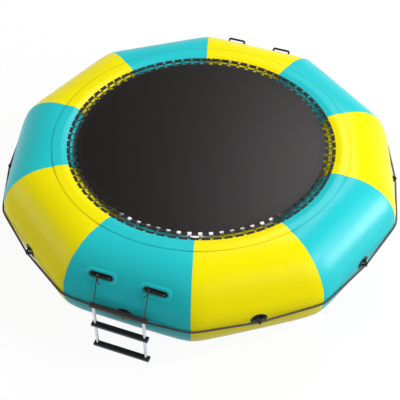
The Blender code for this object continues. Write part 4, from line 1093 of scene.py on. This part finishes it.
def makeAnchor(number, index):
    size, facet = anchor["patchRadius"], anchor["facet"]
    profile = padProfile(anchor["pad"], anchor["thickness"])
    patch = discPatch(placer(onSkin, index, facet), profile, 64, size, size)
    # The strap goes up one side of the ring's straight bar, over it and down the other.
    foot, high = anchor["foot"], anchor["barHeight"]
    base = ring["gap"] + anchor["thickness"] + anchor["strapThickness"] / 2
    left = [(-foot - anchor["flange"], base), (-foot, base), (-foot * 0.7, base + 0.0006)]
    line = strapLine(left, anchor["archArc"], high, anchor["archRadius"], 12, 48)
    path = onFacet(index, facet, 0.0, line[:, 0], line[:, 1])
    strap = strapPatch(path, fromSegment(index, 0.0, 1.0, 0.0), anchor)
    makePiece(f"anchorPatch_{number + 1}", [patch, strap], holderRubber, "anchor_patch_" + numbered(number))

    # A D ring: its straight side along the tube, and a bow that hangs straight down.
    half = anchor["half"]
    bow = np.linspace(0, -math.pi, 40)
    side = np.linspace(-half + 0.006, half - 0.006, 12)
    shape = join(
        beside(side, 0.0), [(half - 0.0015, -0.0015), (half, -0.006)],
        beside(half * np.cos(bow), half - anchor["drop"] + half * np.sin(bow)),
        [(-half, -0.006), (-half + 0.0015, -0.0015)],
    )
    shape = evenLine(smoothLine(shape, 1, True), 96, True)
    reach = ring["tubeRadius"] + high
    up = reach * math.sin(facet) - ring["matAboveTube"]
    path = fromSegment(index, ring["middle"] + reach * math.cos(facet), shape[:, 0], up + shape[:, 1])
    wire = sweepPatch(path, circleSection(anchor["wire"], 18), fromSegment(index, 1.0, 0.0, 0.0), True)
    makePiece(f"anchorRing_{number + 1}", [wire], ringSteel, "anchor_ring_" + numbered(number),
              ("east_ring", "west_ring")[number])


for number, index in enumerate(anchor["segments"]):
    makeAnchor(number, index)
print("anchors made")


# Floor, world and lamps. Each lamp has its turn from +X, its height angle, its two sides and its power.

studio = {
    "floor": -0.7685, "floorHalf": 30.0, "floorTone": 0.32, "shadowShare": 0.07, "worldLevel": 0.22,
    "sweepLow": 0.15, "sweepHigh": 0.40, "lampDistance": 12.0,
    "lamps": (
        ("rightLamp", 16, 36, 3.6, 3.6, 700.0),
        ("sheenLamp", 21, 10, 3.0, 4.6, 1700.0),
        ("frontLamp", -18, 34, 7.0, 7.0, 620.0),
        ("leftLamp", 198, 12, 8.0, 5.0, 460.0),
        ("matLamp", 89, 48, 2.4, 2.4, 520.0),
    ),
}


def makeFloor():
    # The camera, metal and gloss see it white with a soft shadow, and it lights the part as pale paper.
    paint = newPaint("floorPaint")
    seen, tone, white = paint.seen(), studio["floorTone"], (1, 1, 1, 1)
    grain = paint.noise(paint.place(), 3.0, 2.0)
    colour = paint.mix(grain * 0.2, (tone, tone, tone, 1), (tone * 0.97, tone * 0.97, tone * 0.97, 1))
    paper = paint.take("BsdfDiffuse", {"Color": colour})
    bright = paint.take("Emission", {"Color": white, "Strength": 1.0})
    shaded = paint.take("BsdfDiffuse", {"Color": white})
    sheet = paint.take("MixShader", {0: studio["shadowShare"], 1: bright, 2: shaded})
    both = paint.take("MixShader", {0: seen, 1: paper, 2: sheet})
    paint.add("OutputMaterial", {"Surface": both})
    half, height = studio["floorHalf"], studio["floor"]
    mesh = bpy.data.meshes.new("floor")
    corners = [(half * x, half * y, height) for x, y in ((-1, -1), (1, -1), (1, 1), (-1, 1))]
    mesh.from_pydata(corners, [], [(0, 1, 2, 3)])
    mesh.materials.append(paint.owner)
    addObject("floor", mesh)


def makeWorld():
    # White round the horizon for the camera, metal and gloss, like a paper sweep, and plain above it.
    world = bpy.data.worlds.new("studioWorld")
    bpy.context.scene.world = world
    paint = Paint(world)
    seen = paint.seen()
    height = paint.split(paint.place("Generated"))[2]
    sweep = paint.ramp(height, studio["sweepHigh"], studio["sweepLow"])
    strength = seen * sweep * (1.0 - studio["worldLevel"]) + studio["worldLevel"]
    glow = paint.take("Background", {"Color": (1, 1, 1, 1), "Strength": strength})
    paint.add("OutputWorld", {"Surface": glow})


def makeLamps():
    # All stand at one distance and face the ring's middle. The sheen lamp shows in gloss alone.
    distance = studio["lampDistance"]
    for name, turn, rise, width, height, power in studio["lamps"]:
        turn, rise = math.radians(turn), math.radians(rise)
        data = bpy.data.lights.new(name, "AREA")
        data.shape = "RECTANGLE"
        data.size, data.size_y, data.energy = width, height, power
        lamp = addObject(name, data)
        reach = distance * math.cos(rise)
        lamp.location = (reach * math.cos(turn), reach * math.sin(turn), distance * math.sin(rise))
        lamp.rotation_euler = (math.pi / 2 - rise, 0, turn + math.pi / 2)
        lamp.visible_diffuse = name != "sheenLamp"


bpy.context.scene.view_settings.view_transform = "Standard"
makeFloor()
makeWorld()
makeLamps()
print("studio made")
